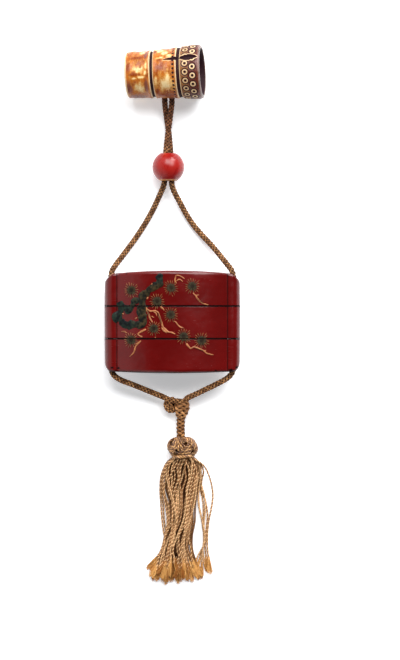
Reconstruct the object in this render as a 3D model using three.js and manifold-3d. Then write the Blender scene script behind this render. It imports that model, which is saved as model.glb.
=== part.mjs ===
// Inro: a tiered lacquer case with its cords, sliding bead, horn toggle and tassel, lying on its back.
// Millimetres, +Z up. The case stands along Y with its lid towards +Y, and the origin is the centre of
// the flat on its back. Run as a plain module: the default export is the finished group.
import * as THREE from "three";
import { mergeVertices } from "three/addons/utils/BufferGeometryUtils.js";
import Module from "manifold-3d";

const wasm = await Module();
wasm.setup();

// ------------------------------------------------------------------ driving dimensions

const gap = 0.3; // between pieces that touch
const beyond = 80; // reach of a cutting block past anything it trims

const shell = {
  halfHeight: 23.7,
  faceCrown: 11.1, // half thickness at the middle of the section
  faceRadius: 50,
  backFlat: 0.3, // how much of the back's crown is flattened
  ribRadius: 4.7,
  ribX: 26.5,
  barrel: 0.006, // how much narrower the ends are than the middle
  roll: 1.4, // radius of the rolled edge round each end
  lidDome: 2.05, // fall of the lid's end from its middle to its side
  footDome: 1.1, // the same for the lower end
  crownDome: 0.5, // fall of either end from its middle to its front and back
};
const centreZ = shell.faceCrown - shell.backFlat;

const seam = { upper: 7.2, lower: -7.75 };
const wall = { mouth: 1.5, lip: 1.8, cavity: 2.8 }; // depths below the outer face
const mouthHalfWidth = 25.4;
const lipHeight = 3.0;
const floorThickness = 1.5;
const endThickness = 2.5;

const cordRadius = 1.35;
const channel = { x: 28.2, radius: 1.75, mouth: 21.2, flare: 2.6, flareLength: 3.2 };

const bead = { x: -1.85, y: 71.3, z: 7.2, radius: 7.36, bore: 3.4, edge: 0.3 };

const toggle = {
  left: new THREE.Vector3(-20.6, 113.4, 10.5), // middle of the narrow end
  length: 34.6,
  heading: THREE.MathUtils.degToRad(2.5),
  rise: THREE.MathUtils.degToRad(3.3),
  lean: Math.tan(THREE.MathUtils.degToRad(4)), // the rings lean back by this slope
  cordHoleAt: 18.6,
  cordHoleHalfWidth: 3.45,
  cordHoleRadius: 1.75,
  cordHoleDip: THREE.MathUtils.degToRad(17),
  leafAngle: THREE.MathUtils.degToRad(-30), // round from the top, towards the far side
  leaves: [
    { at: 29.5, halfLength: 4.3, halfWidth: 2.1, depth: 1.3, surface: 12.2 },
    { at: 21.9, halfLength: 3.6, halfWidth: 0.9, depth: 0.8, surface: 11.5 },
  ],
};

const tassel = {
  neckRadius: 2.0,
  head: { centre: [4.7, -57.9, 5.85], radii: [7.6, 5.3, 5.7] },
};

// ------------------------------------------------------------------ solids and geometry helpers

/** Turns a closed three.js geometry into a solid for joining and cutting. */
function toSolid(geometry) {
  const bare = geometry.clone();
  for (const name of Object.keys(bare.attributes)) {
    if (name !== "position") bare.deleteAttribute(name);
  }
  const merged = mergeVertices(bare, 1e-4);
  const source = merged.index.array;
  const triangles = [];
  for (let i = 0; i < source.length; i += 3) {
    const [a, b, c] = [source[i], source[i + 1], source[i + 2]];
    if (a !== b && b !== c && c !== a) triangles.push(a, b, c);
  }
  return new wasm.Manifold(new wasm.Mesh({
    numProp: 3,
    vertProperties: new Float32Array(merged.attributes.position.array),
    triVerts: new Uint32Array(triangles),
  }));
}

/** Turns a solid back into a three.js geometry. */
function toGeometry(solid) {
  const mesh = solid.getMesh();
  const geometry = new THREE.BufferGeometry();
  geometry.setAttribute("position", new THREE.BufferAttribute(mesh.vertProperties, 3));
  geometry.setIndex(new THREE.BufferAttribute(mesh.triVerts, 1));
  geometry.computeVertexNormals();
  return geometry;
}

/** A closed skin over rings of points that all have the same count, with a point closing each end. */
function loft(rings) {
  const count = rings[0].length;
  const middle = (ring) => ring
    .reduce((sum, point) => sum.add(point), new THREE.Vector3())
    .divideScalar(count);
  const points = [middle(rings[0]), ...rings.flat(), middle(rings.at(-1))];
  const last = points.length - 1;
  const at = (ring, i) => 1 + ring * count + (i % count);
  const index = [];
  for (let i = 0; i < count; i += 1) {
    index.push(0, at(0, i), at(0, i + 1));
    index.push(last, at(rings.length - 1, i + 1), at(rings.length - 1, i));
    for (let ring = 0; ring < rings.length - 1; ring += 1) {
      index.push(at(ring, i), at(ring + 1, i), at(ring, i + 1));
      index.push(at(ring, i + 1), at(ring + 1, i), at(ring + 1, i + 1));
    }
  }
  const geometry = new THREE.BufferGeometry().setFromPoints(points);
  geometry.setIndex(index);
  geometry.computeVertexNormals();
  return geometry;
}

/** An outline in X and Z run along Y between two heights. */
function prismAlongY(outline, fromY, toY) {
  const shape = new THREE.Shape(outline.map(([x, z]) => new THREE.Vector2(x, -z)));
  const geometry = new THREE.ExtrudeGeometry(shape, { depth: toY - fromY, bevelEnabled: false });
  geometry.rotateX(-Math.PI / 2);
  geometry.translate(0, fromY, 0);
  return geometry;
}

/** A block that spans everything between two heights along one axis. */
function slab(axis, from, to) {
  const size = new THREE.Vector3(1, 1, 1).multiplyScalar(4 * beyond);
  size[axis] = to - from;
  const geometry = new THREE.BoxGeometry(size.x, size.y, size.z);
  const centre = new THREE.Vector3();
  centre[axis] = (from + to) / 2;
  return toSolid(geometry.translate(centre.x, centre.y, centre.z));
}

/** A ball with its own radius along each axis. */
function ellipsoid(centre, radii, around = 14, down = 8) {
  const geometry = new THREE.SphereGeometry(1, around, down);
  geometry.rotateX(Math.PI / 2);
  geometry.scale(...radii);
  return geometry.translate(...centre);
}

/** Even steps from one number to another, both ends included. */
function steps(from, to, count) {
  return Array.from({ length: count + 1 }, (_, i) => from + ((to - from) * i) / count);
}

// ------------------------------------------------------------------ the case

/** Half thickness of the faces at a distance from the middle, at some depth below the surface. */
function faceHeight(x, depth = 0) {
  const radius = shell.faceRadius - depth;
  return Math.sqrt(radius * radius - x * x) - (shell.faceRadius - shell.faceCrown);
}

/** The section of the case: two crowned faces between two round cord ribs. */
function caseSection(faceSteps = 14, ribSteps = 8) {
  const faceCentreZ = shell.faceCrown - shell.faceRadius;
  const apart = Math.hypot(shell.ribX, faceCentreZ);
  const cosine = (shell.ribRadius ** 2 + apart ** 2 - shell.faceRadius ** 2)
    / (2 * shell.ribRadius * apart);
  const towardsFaceCentre = Math.atan2(faceCentreZ, -shell.ribX);
  const crease = towardsFaceCentre - Math.acos(cosine) + 2 * Math.PI;
  const creaseX = shell.ribX + shell.ribRadius * Math.cos(crease);
  const rib = steps(-crease, crease, ribSteps)
    .map((angle) => [
      shell.ribX + shell.ribRadius * Math.cos(angle),
      shell.ribRadius * Math.sin(angle),
    ]);
  const face = steps(creaseX, -creaseX, faceSteps)
    .slice(1, -1)
    .map((x) => [x, faceHeight(x)]);
  const half = [...rib, ...face];
  return [...half, ...half.map(([x, z]) => [-x, -z])];
}

/** An opening inside the case: the crowned faces set in by a depth, with rounded ends. */
function innerOutline(depth, halfWidth, count = 16) {
  const squareness = 10;
  const heightAt = (x) => faceHeight(x, depth)
    * Math.sqrt(Math.max(0, 1 - (Math.abs(x) / halfWidth) ** squareness));
  const across = steps(-Math.PI / 2, Math.PI / 2, count)
    .map((angle) => halfWidth * Math.sin(angle));
  const upper = across.slice(1, -1).map((x) => [x, heightAt(x) + centreZ]);
  const lower = across.slice(1, -1).map((x) => [-x, centreZ - heightAt(x)]);
  return [[-halfWidth, centreZ], ...upper, [halfWidth, centreZ], ...lower];
}

/** The rings of one rolled and domed end, from its middle out to the wall. */
function endRings(section, side, dome) {
  const tip = side * shell.halfHeight;
  const halfWidth = shell.ribX + shell.ribRadius;
  const ring = (inset, drop) => section.map(([x, z]) => {
    const flatX = x * (1 - inset / halfWidth);
    const flatZ = z * (1 - inset / shell.faceCrown);
    const fall = dome * (flatX / halfWidth) ** 2 + shell.crownDome * (flatZ / shell.faceCrown) ** 2;
    return new THREE.Vector3(flatX * (1 - shell.barrel), tip - side * (fall + drop), centreZ + flatZ);
  });
  const cap = [0.85, 0.5, 0.25].map((share) => ring(share * shell.faceCrown, 0));
  const rolled = steps(0, Math.PI / 2, 3)
    .map((angle) => ring(shell.roll * (1 - Math.sin(angle)), shell.roll * (1 - Math.cos(angle))));
  return [...cap, ...rolled];
}

/** The whole outside of the case before it is parted, with its cut corners and flat back. */
function caseBody() {
  const section = caseSection();
  const wallRing = (y) => section.map(([x, z]) => {
    const narrowing = 1 - shell.barrel * (y / shell.halfHeight) ** 2;
    return new THREE.Vector3(x * narrowing, y, centreZ + z);
  });
  const rings = [
    ...endRings(section, -1, shell.footDome),
    ...steps(-14, 14, 2).map(wallRing),
    ...endRings(section, 1, shell.lidDome).reverse(),
  ];
  const plan = new THREE.Shape();
  plan.moveTo(0, -26);
  plan.lineTo(25.5, -24.2);
  plan.quadraticCurveTo(30.9, -23.0, 31.6, -17.5);
  plan.lineTo(31.6, 17.4);
  plan.quadraticCurveTo(30.4, 20.6, 24.5, 23.6);
  plan.lineTo(0, 26);
  plan.lineTo(-24.5, 23.6);
  plan.quadraticCurveTo(-30.4, 20.6, -31.6, 17.4);
  plan.lineTo(-31.6, -17.5);
  plan.quadraticCurveTo(-30.9, -23.0, -25.5, -24.2);
  const trim = new THREE.ExtrudeGeometry(plan, { depth: beyond, bevelEnabled: false, curveSegments: 4 });
  return toSolid(loft(rings)).intersect(toSolid(trim));
}

/** The two holes that carry the cords through the ribs, widened where they come out. */
function cordChannels() {
  const reach = shell.halfHeight + 2;
  const profile = [
    [0, -reach],
    [channel.flare, -reach],
    [channel.flare, -channel.mouth],
    [channel.radius, -channel.mouth + channel.flareLength],
    [channel.radius, channel.mouth - channel.flareLength],
    [channel.flare, channel.mouth],
    [channel.flare, reach],
    [0, reach],
  ].map(([x, y]) => new THREE.Vector2(x, y));
  const bore = new THREE.LatheGeometry(profile, 14);
  const right = toSolid(bore.clone().translate(channel.x, 0, centreZ));
  const left = toSolid(bore.clone().translate(-channel.x, 0, centreZ));
  return right.add(left);
}

/** The three pieces of the case, each hollow, with the lips that hold them together. */
function casePieces() {
  const body = caseBody().subtract(cordChannels());
  const lipInset = mouthHalfWidth - (wall.lip - wall.mouth);
  const cavityHalfWidth = mouthHalfWidth - (wall.cavity - wall.mouth);
  const opening = (depth, halfWidth, from, to) => (
    toSolid(prismAlongY(innerOutline(depth, halfWidth), from, to)));
  const mouth = (edge) => opening(wall.mouth, mouthHalfWidth, edge - 1, edge + lipHeight);
  const lip = (edge) => opening(wall.lip, lipInset, edge - 2, edge + lipHeight);
  const cavity = (from, to) => opening(wall.cavity, cavityHalfWidth, from, to);

  const lidEdge = seam.upper + gap / 2;
  const lid = body.intersect(slab("y", lidEdge, beyond))
    .subtract(mouth(lidEdge))
    .subtract(cavity(lidEdge - 1, shell.halfHeight - endThickness));

  const middleTop = seam.upper - gap / 2;
  const middleFoot = seam.lower + gap / 2;
  const middleFloor = middleFoot + lipHeight + floorThickness;
  const middle = body.intersect(slab("y", middleFoot, middleTop))
    .add(lip(middleTop))
    .subtract(mouth(middleFoot))
    .subtract(cavity(middleFloor, middleTop + lipHeight + 1));

  const bottomTop = seam.lower - gap / 2;
  const bottom = body.intersect(slab("y", -beyond, bottomTop))
    .add(lip(bottomTop))
    .subtract(cavity(endThickness - shell.halfHeight, bottomTop + lipHeight + 1));
  return { lid, middle, bottom };
}

// ------------------------------------------------------------------ bead and toggle

/** The bead: a ball bored along Y, with softened mouths and a small flat to lie on. */
function beadSolid() {
  const edgeAngle = Math.acos((bead.bore + bead.edge) / bead.radius);
  const arc = steps(-edgeAngle, edgeAngle, 10)
    .map((angle) => [bead.radius * Math.cos(angle), bead.radius * Math.sin(angle)]);
  const inner = bead.radius * Math.sin(edgeAngle) - bead.edge;
  const profile = [[bead.bore, -inner], ...arc, [bead.bore, inner], [bead.bore, -inner]]
    .map(([x, y]) => new THREE.Vector2(x, y));
  const ball = new THREE.LatheGeometry(profile, 22).translate(bead.x, bead.y, bead.z);
  return toSolid(ball).intersect(slab("z", 0, beyond));
}

/** Moves a shape from the toggle's own axis, upright on Y, to where the toggle lies. */
function layToggle(geometry) {
  const along = new THREE.Vector3(
    Math.cos(toggle.rise) * Math.cos(toggle.heading),
    Math.cos(toggle.rise) * Math.sin(toggle.heading),
    Math.sin(toggle.rise),
  );
  const side = new THREE.Vector3(Math.sin(toggle.heading), -Math.cos(toggle.heading), 0);
  const up = new THREE.Vector3().crossVectors(side, along);
  const lean = new THREE.Matrix4().makeShear(0, 0, 0, 0, 0, -toggle.lean);
  const lay = new THREE.Matrix4().makeBasis(side, along, up).setPosition(toggle.left);
  return geometry.applyMatrix4(lay.multiply(lean));
}

/** A pointed spindle for a leaf-shaped cut, along the toggle's axis. */
function leafCut({ at, halfLength, halfWidth, depth, surface }) {
  const profile = steps(-1, 1, 8)
    .map((t) => new THREE.Vector2(halfWidth * (1 - t * t), halfLength * t));
  const spindle = new THREE.LatheGeometry(profile, 8);
  spindle.scale(1, 1, depth / halfWidth);
  spindle.translate(0, at, surface);
  return toSolid(layToggle(spindle.rotateY(toggle.leafAngle)));
}

/** The toggle: a tapering horn tube with two turned grooves, cut leaves and a slot for the cords. */
function toggleSolid() {
  const outside = [
    [9.9, 0],
    [10.5, 0.7],
    [10.7, 3],
    [10.75, 9.5],
    [11.15, 10.6],
    [11.15, 11.2],
    [10.4, 11.6],
    [10.4, 12.7],
    [11.2, 13.1],
    [11.2, 13.7],
    [11.1, 15],
    [11.6, 22],
    [11.95, 23.4],
    [11.35, 23.9],
    [11.35, 25.3],
    [12.0, 25.8],
    [12.5, 31],
    [12.55, 33],
    [12.2, 34.2],
    [11.6, toggle.length],
  ];
  const bore = [
    [9.6, toggle.length],
    [9.0, 33.6],
    [8.4, 26],
    [7.6, 10],
    [7.2, 1],
    [7.7, 0],
  ];
  const profile = [...outside, ...bore, outside[0]].map(([x, y]) => new THREE.Vector2(x, y));
  const horn = toSolid(layToggle(new THREE.LatheGeometry(profile, 24)));

  const slot = new THREE.Shape();
  const reach = toggle.cordHoleHalfWidth - toggle.cordHoleRadius;
  slot.absarc(reach, 0, toggle.cordHoleRadius, -Math.PI / 2, Math.PI / 2, false);
  slot.absarc(-reach, 0, toggle.cordHoleRadius, Math.PI / 2, (3 * Math.PI) / 2, false);
  const hole = new THREE.ExtrudeGeometry(slot, { depth: 16, bevelEnabled: false, curveSegments: 7 });
  hole.rotateX(Math.PI / 2 + toggle.cordHoleDip);
  const along = toggle.cordHoleAt;
  hole.translate(
    toggle.left.x + along,
    toggle.left.y + along * Math.tan(toggle.heading),
    toggle.left.z + along * Math.tan(toggle.rise),
  );
  return toggle.leaves
    .reduce((carved, leaf) => carved.subtract(leafCut(leaf)), horn.subtract(toSolid(hole)))
    .intersect(slab("z", 0, beyond));
}

// ------------------------------------------------------------------ cords

// The doubled stretch from the toggle through the bead. Each row holds y, z, half the distance between
// the two strands, and how far the pair has turned, in degrees.
const pairX = -1.85;
const pairRoute = [
  [106.9, 9.3, 1.6, 0],
  [103.5, 8.3, 1.65, 0],
  [100.6, 6.9, 1.65, 12],
  [97.6, 5.2, 1.6, 38],
  [94.6, 3.9, 1.6, 58],
  [91.4, 3.3, 1.6, 75],
  [88.2, 3.3, 1.6, 92],
  [84.8, 4.1, 1.6, 106],
  [81.6, 5.6, 1.6, 118],
  [78.4, 6.8, 1.55, 132],
  [75.0, 7.2, 1.55, 150],
  [71.3, 7.2, 1.55, 168],
  [67.6, 7.2, 1.55, 180],
];

// Each strand alone: from the bead to the lid's corner, through the rib, and on to the knot.
const leftRoute = [
  [-3.9, 63.2, 6.7],
  [-5.4, 59.5, 4.8],
  [-7.1, 55.8, 3.1],
  [-8.9, 52.1, 2.0],
  [-10.9, 48.4, 1.65],
  [-13.0, 44.8, 1.65],
  [-15.4, 41.1, 1.8],
  [-17.9, 37.4, 2.5],
  [-20.6, 33.7, 3.8],
  [-23.3, 30.0, 5.6],
  [-25.9, 26.5, 7.8],
  [-27.6, 23.6, 9.7],
  [-28.2, 20.0, 10.8],
  [-28.2, 10.0, 10.8],
  [-28.2, 0.0, 10.8],
  [-28.2, -10.0, 10.8],
  [-28.2, -19.6, 10.8],
  [-27.9, -22.4, 10.6],
  [-26.6, -24.8, 10.2],
  [-23.4, -26.9, 9.5],
  [-19.8, -28.3, 8.5],
  [-16.3, -29.7, 7.6],
  [-12.9, -31.1, 6.8],
  [-9.5, -32.5, 6.0],
  [-3.3, -35.0, 5.3],
];
const rightRoute = [
  [-0.2, 63.2, 6.7],
  [1.1, 59.5, 4.8],
  [3.1, 55.8, 3.1],
  [5.1, 52.1, 2.0],
  [7.2, 48.4, 1.65],
  [9.7, 44.8, 1.65],
  [12.8, 41.1, 1.8],
  [16.2, 37.4, 2.6],
  [19.5, 33.7, 4.0],
  [22.5, 30.0, 6.0],
  [25.3, 26.4, 8.2],
  [27.3, 23.6, 9.8],
  [28.2, 20.0, 10.8],
  [28.2, 10.0, 10.8],
  [28.2, 0.0, 10.8],
  [28.2, -10.0, 10.8],
  [28.2, -19.6, 10.8],
  [27.9, -22.4, 10.6],
  [26.5, -24.8, 10.2],
  [23.9, -26.8, 9.5],
  [20.9, -28.4, 8.8],
  [18.2, -29.8, 8.0],
  [15.4, -31.1, 7.2],
  [12.6, -32.5, 6.4],
  [6.7, -35.2, 5.3],
];

/** The full route of one strand. The side is -1 for the strand that starts on the left. */
function strandRoute(side, alone) {
  const doubled = pairRoute.map(([y, z, half, degrees]) => {
    const turn = THREE.MathUtils.degToRad(degrees);
    return [pairX + side * half * Math.cos(turn), y, z + side * half * Math.sin(turn)];
  });
  return [...doubled, ...alone].map((point) => new THREE.Vector3(...point));
}

/** A plain round tube along a route, with flat ends. */
function tube(points, radius, sides, stepCount) {
  const ring = steps(0, 2 * Math.PI, sides)
    .slice(0, -1)
    .map((angle) => new THREE.Vector2(radius * Math.cos(angle), radius * Math.sin(angle)));
  return new THREE.ExtrudeGeometry(new THREE.Shape(ring), {
    steps: stepCount,
    extrudePath: new THREE.CatmullRomCurve3(points, false, "centripetal"),
    bevelEnabled: false,
  });
}

/** The knot that joins both strands below the case: a side lobe, a body and a throat to the neck. */
function lowerKnot() {
  const lobe = toSolid(ellipsoid([-1.6, -38.6, 3.9], [2.5, 3.6, 3.5]));
  const body = toSolid(ellipsoid([3.9, -38.9, 3.9], [4.2, 4.3, 3.7]));
  const throat = toSolid(ellipsoid([4.0, -41.2, 3.8], [2.6, 2.6, 2.6]));
  const middle = toSolid(ellipsoid([0.8, -37.8, 3.9], [3.2, 2.9, 3.3]));
  return body.add(lobe).add(throat).add(middle);
}

// ------------------------------------------------------------------ tassel

/** The tassel's strings as one soft bundle that lies flat and spreads towards its tips. */
function skirtGeometry() {
  // y, left edge, right edge, height
  const stations = [
    [-63.6, 0.2, 9.2, 7.5],
    [-64.6, -2.6, 12.6, 8.6],
    [-67.0, -4.2, 15.2, 8.4],
    [-78.0, -5.2, 15.4, 7.2],
    [-90.0, -4.6, 16.4, 6.4],
    [-102.0, -4.4, 16.8, 5.8],
    [-109.0, -6.2, 17.2, 5.4],
    [-114.5, -8.6, 17.4, 5.0],
    [-119.0, -6.4, 16.6, 4.4],
    [-121.0, -2.0, 12.0, 3.4],
  ];
  const clearance = 0.15;
  const squareness = 0.7;
  const power = (value) => Math.sign(value) * Math.abs(value) ** squareness;
  const rings = stations.map(([y, left, right, height]) => (
    steps(0, 2 * Math.PI, 20).slice(0, -1).map((angle) => new THREE.Vector3(
      (left + right) / 2 - ((right - left) / 2) * power(Math.cos(angle)),
      y,
      clearance + (height / 2) * (1 + power(Math.sin(angle))),
    ))));
  return loft(rings);
}

// ------------------------------------------------------------------ finishes and assembly

const finishes = {
  redLacquer: { color: 0x6f1216, roughness: 0.28, metalness: 0 },
  coral: { color: 0xb8282c, roughness: 0.3, metalness: 0 },
  stainedHorn: { color: 0xb8793c, roughness: 0.4, metalness: 0 },
  braid: { color: 0x7d5a38, roughness: 0.85, metalness: 0 },
  silk: { color: 0xa57c4c, roughness: 0.75, metalness: 0 },
};

const group = new THREE.Group();

/** Adds one named piece with a finish of its own. */
function piece(name, geometry, finish) {
  const mesh = new THREE.Mesh(geometry, new THREE.MeshStandardMaterial(finish));
  mesh.name = name;
  group.add(mesh);
}

const { lid, middle, bottom } = casePieces();
piece("lid", toGeometry(lid), finishes.redLacquer);
piece("middle_section", toGeometry(middle), finishes.redLacquer);
piece("bottom_section", toGeometry(bottom), finishes.redLacquer);
piece("ojime_bead", toGeometry(beadSolid()), finishes.coral);
piece("netsuke", toGeometry(toggleSolid()), finishes.stainedHorn);

const cordSteps = 50;
piece("cord_left", tube(strandRoute(1, leftRoute), cordRadius, 8, cordSteps), finishes.braid);
piece("cord_right", tube(strandRoute(-1, rightRoute), cordRadius, 8, cordSteps), finishes.braid);
piece("netsuke_knot", ellipsoid([-1.9, 109.6, 9.85], [3.6, 2.5, 2.7]), finishes.braid);
piece("cord_knot", toGeometry(lowerKnot()), finishes.braid);

const neckRoute = [[3.95, -44.2, 3.7], [3.85, -46.5, 4.0], [3.8, -49.5, 4.5], [4.0, -52.2, 5.1]]
  .map((point) => new THREE.Vector3(...point));
piece("tassel_neck", tube(neckRoute, tassel.neckRadius, 10, 4), finishes.silk);
piece("tassel_head", ellipsoid(tassel.head.centre, tassel.head.radii, 20, 12), finishes.silk);
piece("tassel_skirt", skirtGeometry(), finishes.silk);

export default group;
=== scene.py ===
"""A tiered lacquer case on its cords, with a coral bead, a stained horn toggle and a silk tassel.

Sizes in the classes are in millimetres; every mesh is scaled to metres when it becomes an object. The case
stands along Y with its lid towards +Y and lies on its back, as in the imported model.
"""

import logging
import math
from dataclasses import dataclass, field
from enum import Enum

import bmesh
import bpy
import numpy as np
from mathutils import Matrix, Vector


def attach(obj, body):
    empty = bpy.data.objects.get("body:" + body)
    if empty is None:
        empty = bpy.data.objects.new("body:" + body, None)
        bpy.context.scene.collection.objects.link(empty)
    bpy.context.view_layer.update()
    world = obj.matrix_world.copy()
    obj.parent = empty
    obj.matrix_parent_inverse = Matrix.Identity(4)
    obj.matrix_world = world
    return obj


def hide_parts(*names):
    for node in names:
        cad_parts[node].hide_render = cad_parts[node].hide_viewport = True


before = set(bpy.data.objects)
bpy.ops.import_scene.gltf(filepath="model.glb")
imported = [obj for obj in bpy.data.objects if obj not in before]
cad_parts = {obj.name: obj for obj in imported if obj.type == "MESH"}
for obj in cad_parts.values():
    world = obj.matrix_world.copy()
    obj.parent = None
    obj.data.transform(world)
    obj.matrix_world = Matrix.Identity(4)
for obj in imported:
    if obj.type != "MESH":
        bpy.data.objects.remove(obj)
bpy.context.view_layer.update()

MM = 0.001
BODY = "root"
SEAMS = (7.2, -7.75)
BEAD_CENTRE = (-1.85, 71.3, 7.2)
HEAD_CENTRE = (4.7, -57.9, 5.85)
HEAD_RADII = (7.6, 5.3, 5.7)

Array = np.ndarray
Colour = tuple[float, float, float]
Place = tuple[float, float, float]
Row = tuple[float, ...]
Face = tuple[int, ...]
Piece = bpy.types.Object
Material = bpy.types.Material
log = logging.getLogger("inro")


class Slot(Enum):
    """The record's material slots."""

    LACQUER = "red_lacquer"
    CORAL = "coral"
    HORN = "stained_horn"
    BRAID = "braid"
    SILK = "tassel_silk"


# ---------------------------------------------------------------- node trees


class Value:
    """A socket of a node tree that takes part in arithmetic."""

    def __init__(self, graph: "Graph", socket: bpy.types.NodeSocket) -> None:
        """Keeps the tree and the socket."""
        self.graph = graph
        self.socket = socket

    def also(self, name: str) -> "Value":
        """Another output of the same node."""
        return Value(self.graph, self.socket.node.outputs[name])

    def math(self, operation: str, *others: "Value | float") -> "Value":
        """One Math node with this value as its first input."""
        values = dict(enumerate((self, *others)))
        return self.graph.node("ShaderNodeMath", {"operation": operation}, values)

    def _from(self, operation: str, first: "Value | float") -> "Value":
        """One Math node with this value as its second input."""
        return self.graph.node("ShaderNodeMath", {"operation": operation}, {0: first, 1: self})

    def __add__(self, other: "Value | float") -> "Value":
        """Sum."""
        return self.math("ADD", other)

    def __radd__(self, other: float) -> "Value":
        """Sum, reflected."""
        return self._from("ADD", other)

    def __sub__(self, other: "Value | float") -> "Value":
        """Difference."""
        return self.math("SUBTRACT", other)

    def __rsub__(self, other: float) -> "Value":
        """Difference, reflected."""
        return self._from("SUBTRACT", other)

    def __mul__(self, other: "Value | float") -> "Value":
        """Product."""
        return self.math("MULTIPLY", other)

    def __rmul__(self, other: float) -> "Value":
        """Product, reflected."""
        return self._from("MULTIPLY", other)

    def __truediv__(self, other: "Value | float") -> "Value":
        """Quotient."""
        return self.math("DIVIDE", other)

    def __mod__(self, other: float) -> "Value":
        """Remainder that stays positive."""
        return self.math("FLOORED_MODULO", other)

    def __abs__(self) -> "Value":
        """Size without sign."""
        return self.math("ABSOLUTE")

    def smooth(self, low: float, high: float) -> "Value":
        """0 below one level and 1 above another, easing between them; falls where low is above high.

        Args:
            low: Level that gives 0.
            high: Level that gives 1.

        Returns:
            The eased value.
        """
        inputs = {"Value": self, "From Min": low, "From Max": high}
        return self.graph.node("ShaderNodeMapRange", {"interpolation_type": "SMOOTHSTEP"}, inputs)


class Graph:
    """A node tree that is written as expressions."""

    def __init__(self, tree: bpy.types.NodeTree) -> None:
        """Keeps the tree."""
        self.tree = tree

    def node(
        self,
        kind: str,
        settings: dict[str, object] | None = None,
        inputs: dict[str | int, object] | None = None,
        output: str | int = 0,
    ) -> Value:
        """Adds any node.

        Args:
            kind: The node's type.
            settings: Properties of the node, set before its sockets.
            inputs: A value, or a Value to link, for each socket by name or number.
            output: The output that is wanted.

        Returns:
            That output.
        """
        made = self.tree.nodes.new(kind)
        for name, setting in (settings or {}).items():
            setattr(made, name, setting)
        for name, value in (inputs or {}).items():
            socket = made.inputs[name]
            if isinstance(value, Value):
                self.tree.links.new(value.socket, socket)
            elif socket.type == "RGBA" and len(value) == 3:
                socket.default_value = (*value, 1.0)
            else:
                socket.default_value = value
        return Value(self, made.outputs[output])

    def mix(self, factor: Value | float, first: Value | Colour, second: Value | Colour) -> Value:
        """A colour between two others."""
        inputs = {0: factor, 6: first, 7: second}
        return self.node("ShaderNodeMix", {"data_type": "RGBA"}, inputs, output=2)

    def tint(self, factor: Value | float, first: Value | Colour, second: Value | Colour) -> Value:
        """One colour multiplied by another, by a share.

        Args:
            factor: Share of the product.
            first: The colour.
            second: The colour it is multiplied by.

        Returns:
            The tinted colour.
        """
        inputs = {0: factor, 6: first, 7: second}
        settings = {"data_type": "RGBA", "blend_type": "MULTIPLY"}
        return self.node("ShaderNodeMix", settings, inputs, output=2)

    def vector(self, operation: str, *values: Value | Place) -> Value:
        """One Vector Math node on vectors."""
        return self.node("ShaderNodeVectorMath", {"operation": operation}, dict(enumerate(values)))

    def scaled(self, vector: Value, factor: Value | float) -> Value:
        """A vector times a number."""
        inputs = {0: vector, "Scale": factor}
        return self.node("ShaderNodeVectorMath", {"operation": "SCALE"}, inputs)

    def split(self, vector: Value) -> tuple[Value, Value, Value]:
        """The three parts of a vector."""
        x = self.node("ShaderNodeSeparateXYZ", inputs={0: vector})
        return x, x.also("Y"), x.also("Z")

    def combined(self, x: Value | float, y: Value | float, z: Value | float) -> Value:
        """A vector from its three parts."""
        return self.node("ShaderNodeCombineXYZ", inputs={0: x, 1: y, 2: z})

    def millimetres(self) -> Value:
        """The place on the piece, in millimetres."""
        place = self.node("ShaderNodeTexCoord", output="Object")
        return self.scaled(place, 1 / MM)

    def attribute(self, name: str) -> Value:
        """A number that the mesh holds."""
        return self.node("ShaderNodeAttribute", {"attribute_name": name}, output="Fac")

    def noise(self, place: Value, per_mm: float, detail: float = 3.0, rough: float = 0.55) -> Value:
        """Soft noise with a number of features to the millimetre."""
        inputs = {"Vector": place, "Scale": per_mm, "Detail": detail, "Roughness": rough}
        return self.node("ShaderNodeTexNoise", inputs=inputs)

    def bump(self, height: Value, distance: float, under: Value | None = None) -> Value:
        """A normal that is tilted by a height map, with its depth in millimetres.

        Args:
            height: The height map.
            distance: Its depth, in millimetres.
            under: A normal that it is laid over.

        Returns:
            The tilted normal.
        """
        inputs: dict[str | int, object] = {"Height": height, "Distance": distance * MM, "Strength": 1.0}
        if under is not None:
            inputs["Normal"] = under
        return self.node("ShaderNodeBump", inputs=inputs)


# ---------------------------------------------------------------- finishes


@dataclass
class Surface:
    """What varies over a finish."""

    colour: Value
    roughness: Value | None = None
    normal: Value | None = None
    matte: Value | None = None


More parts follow.
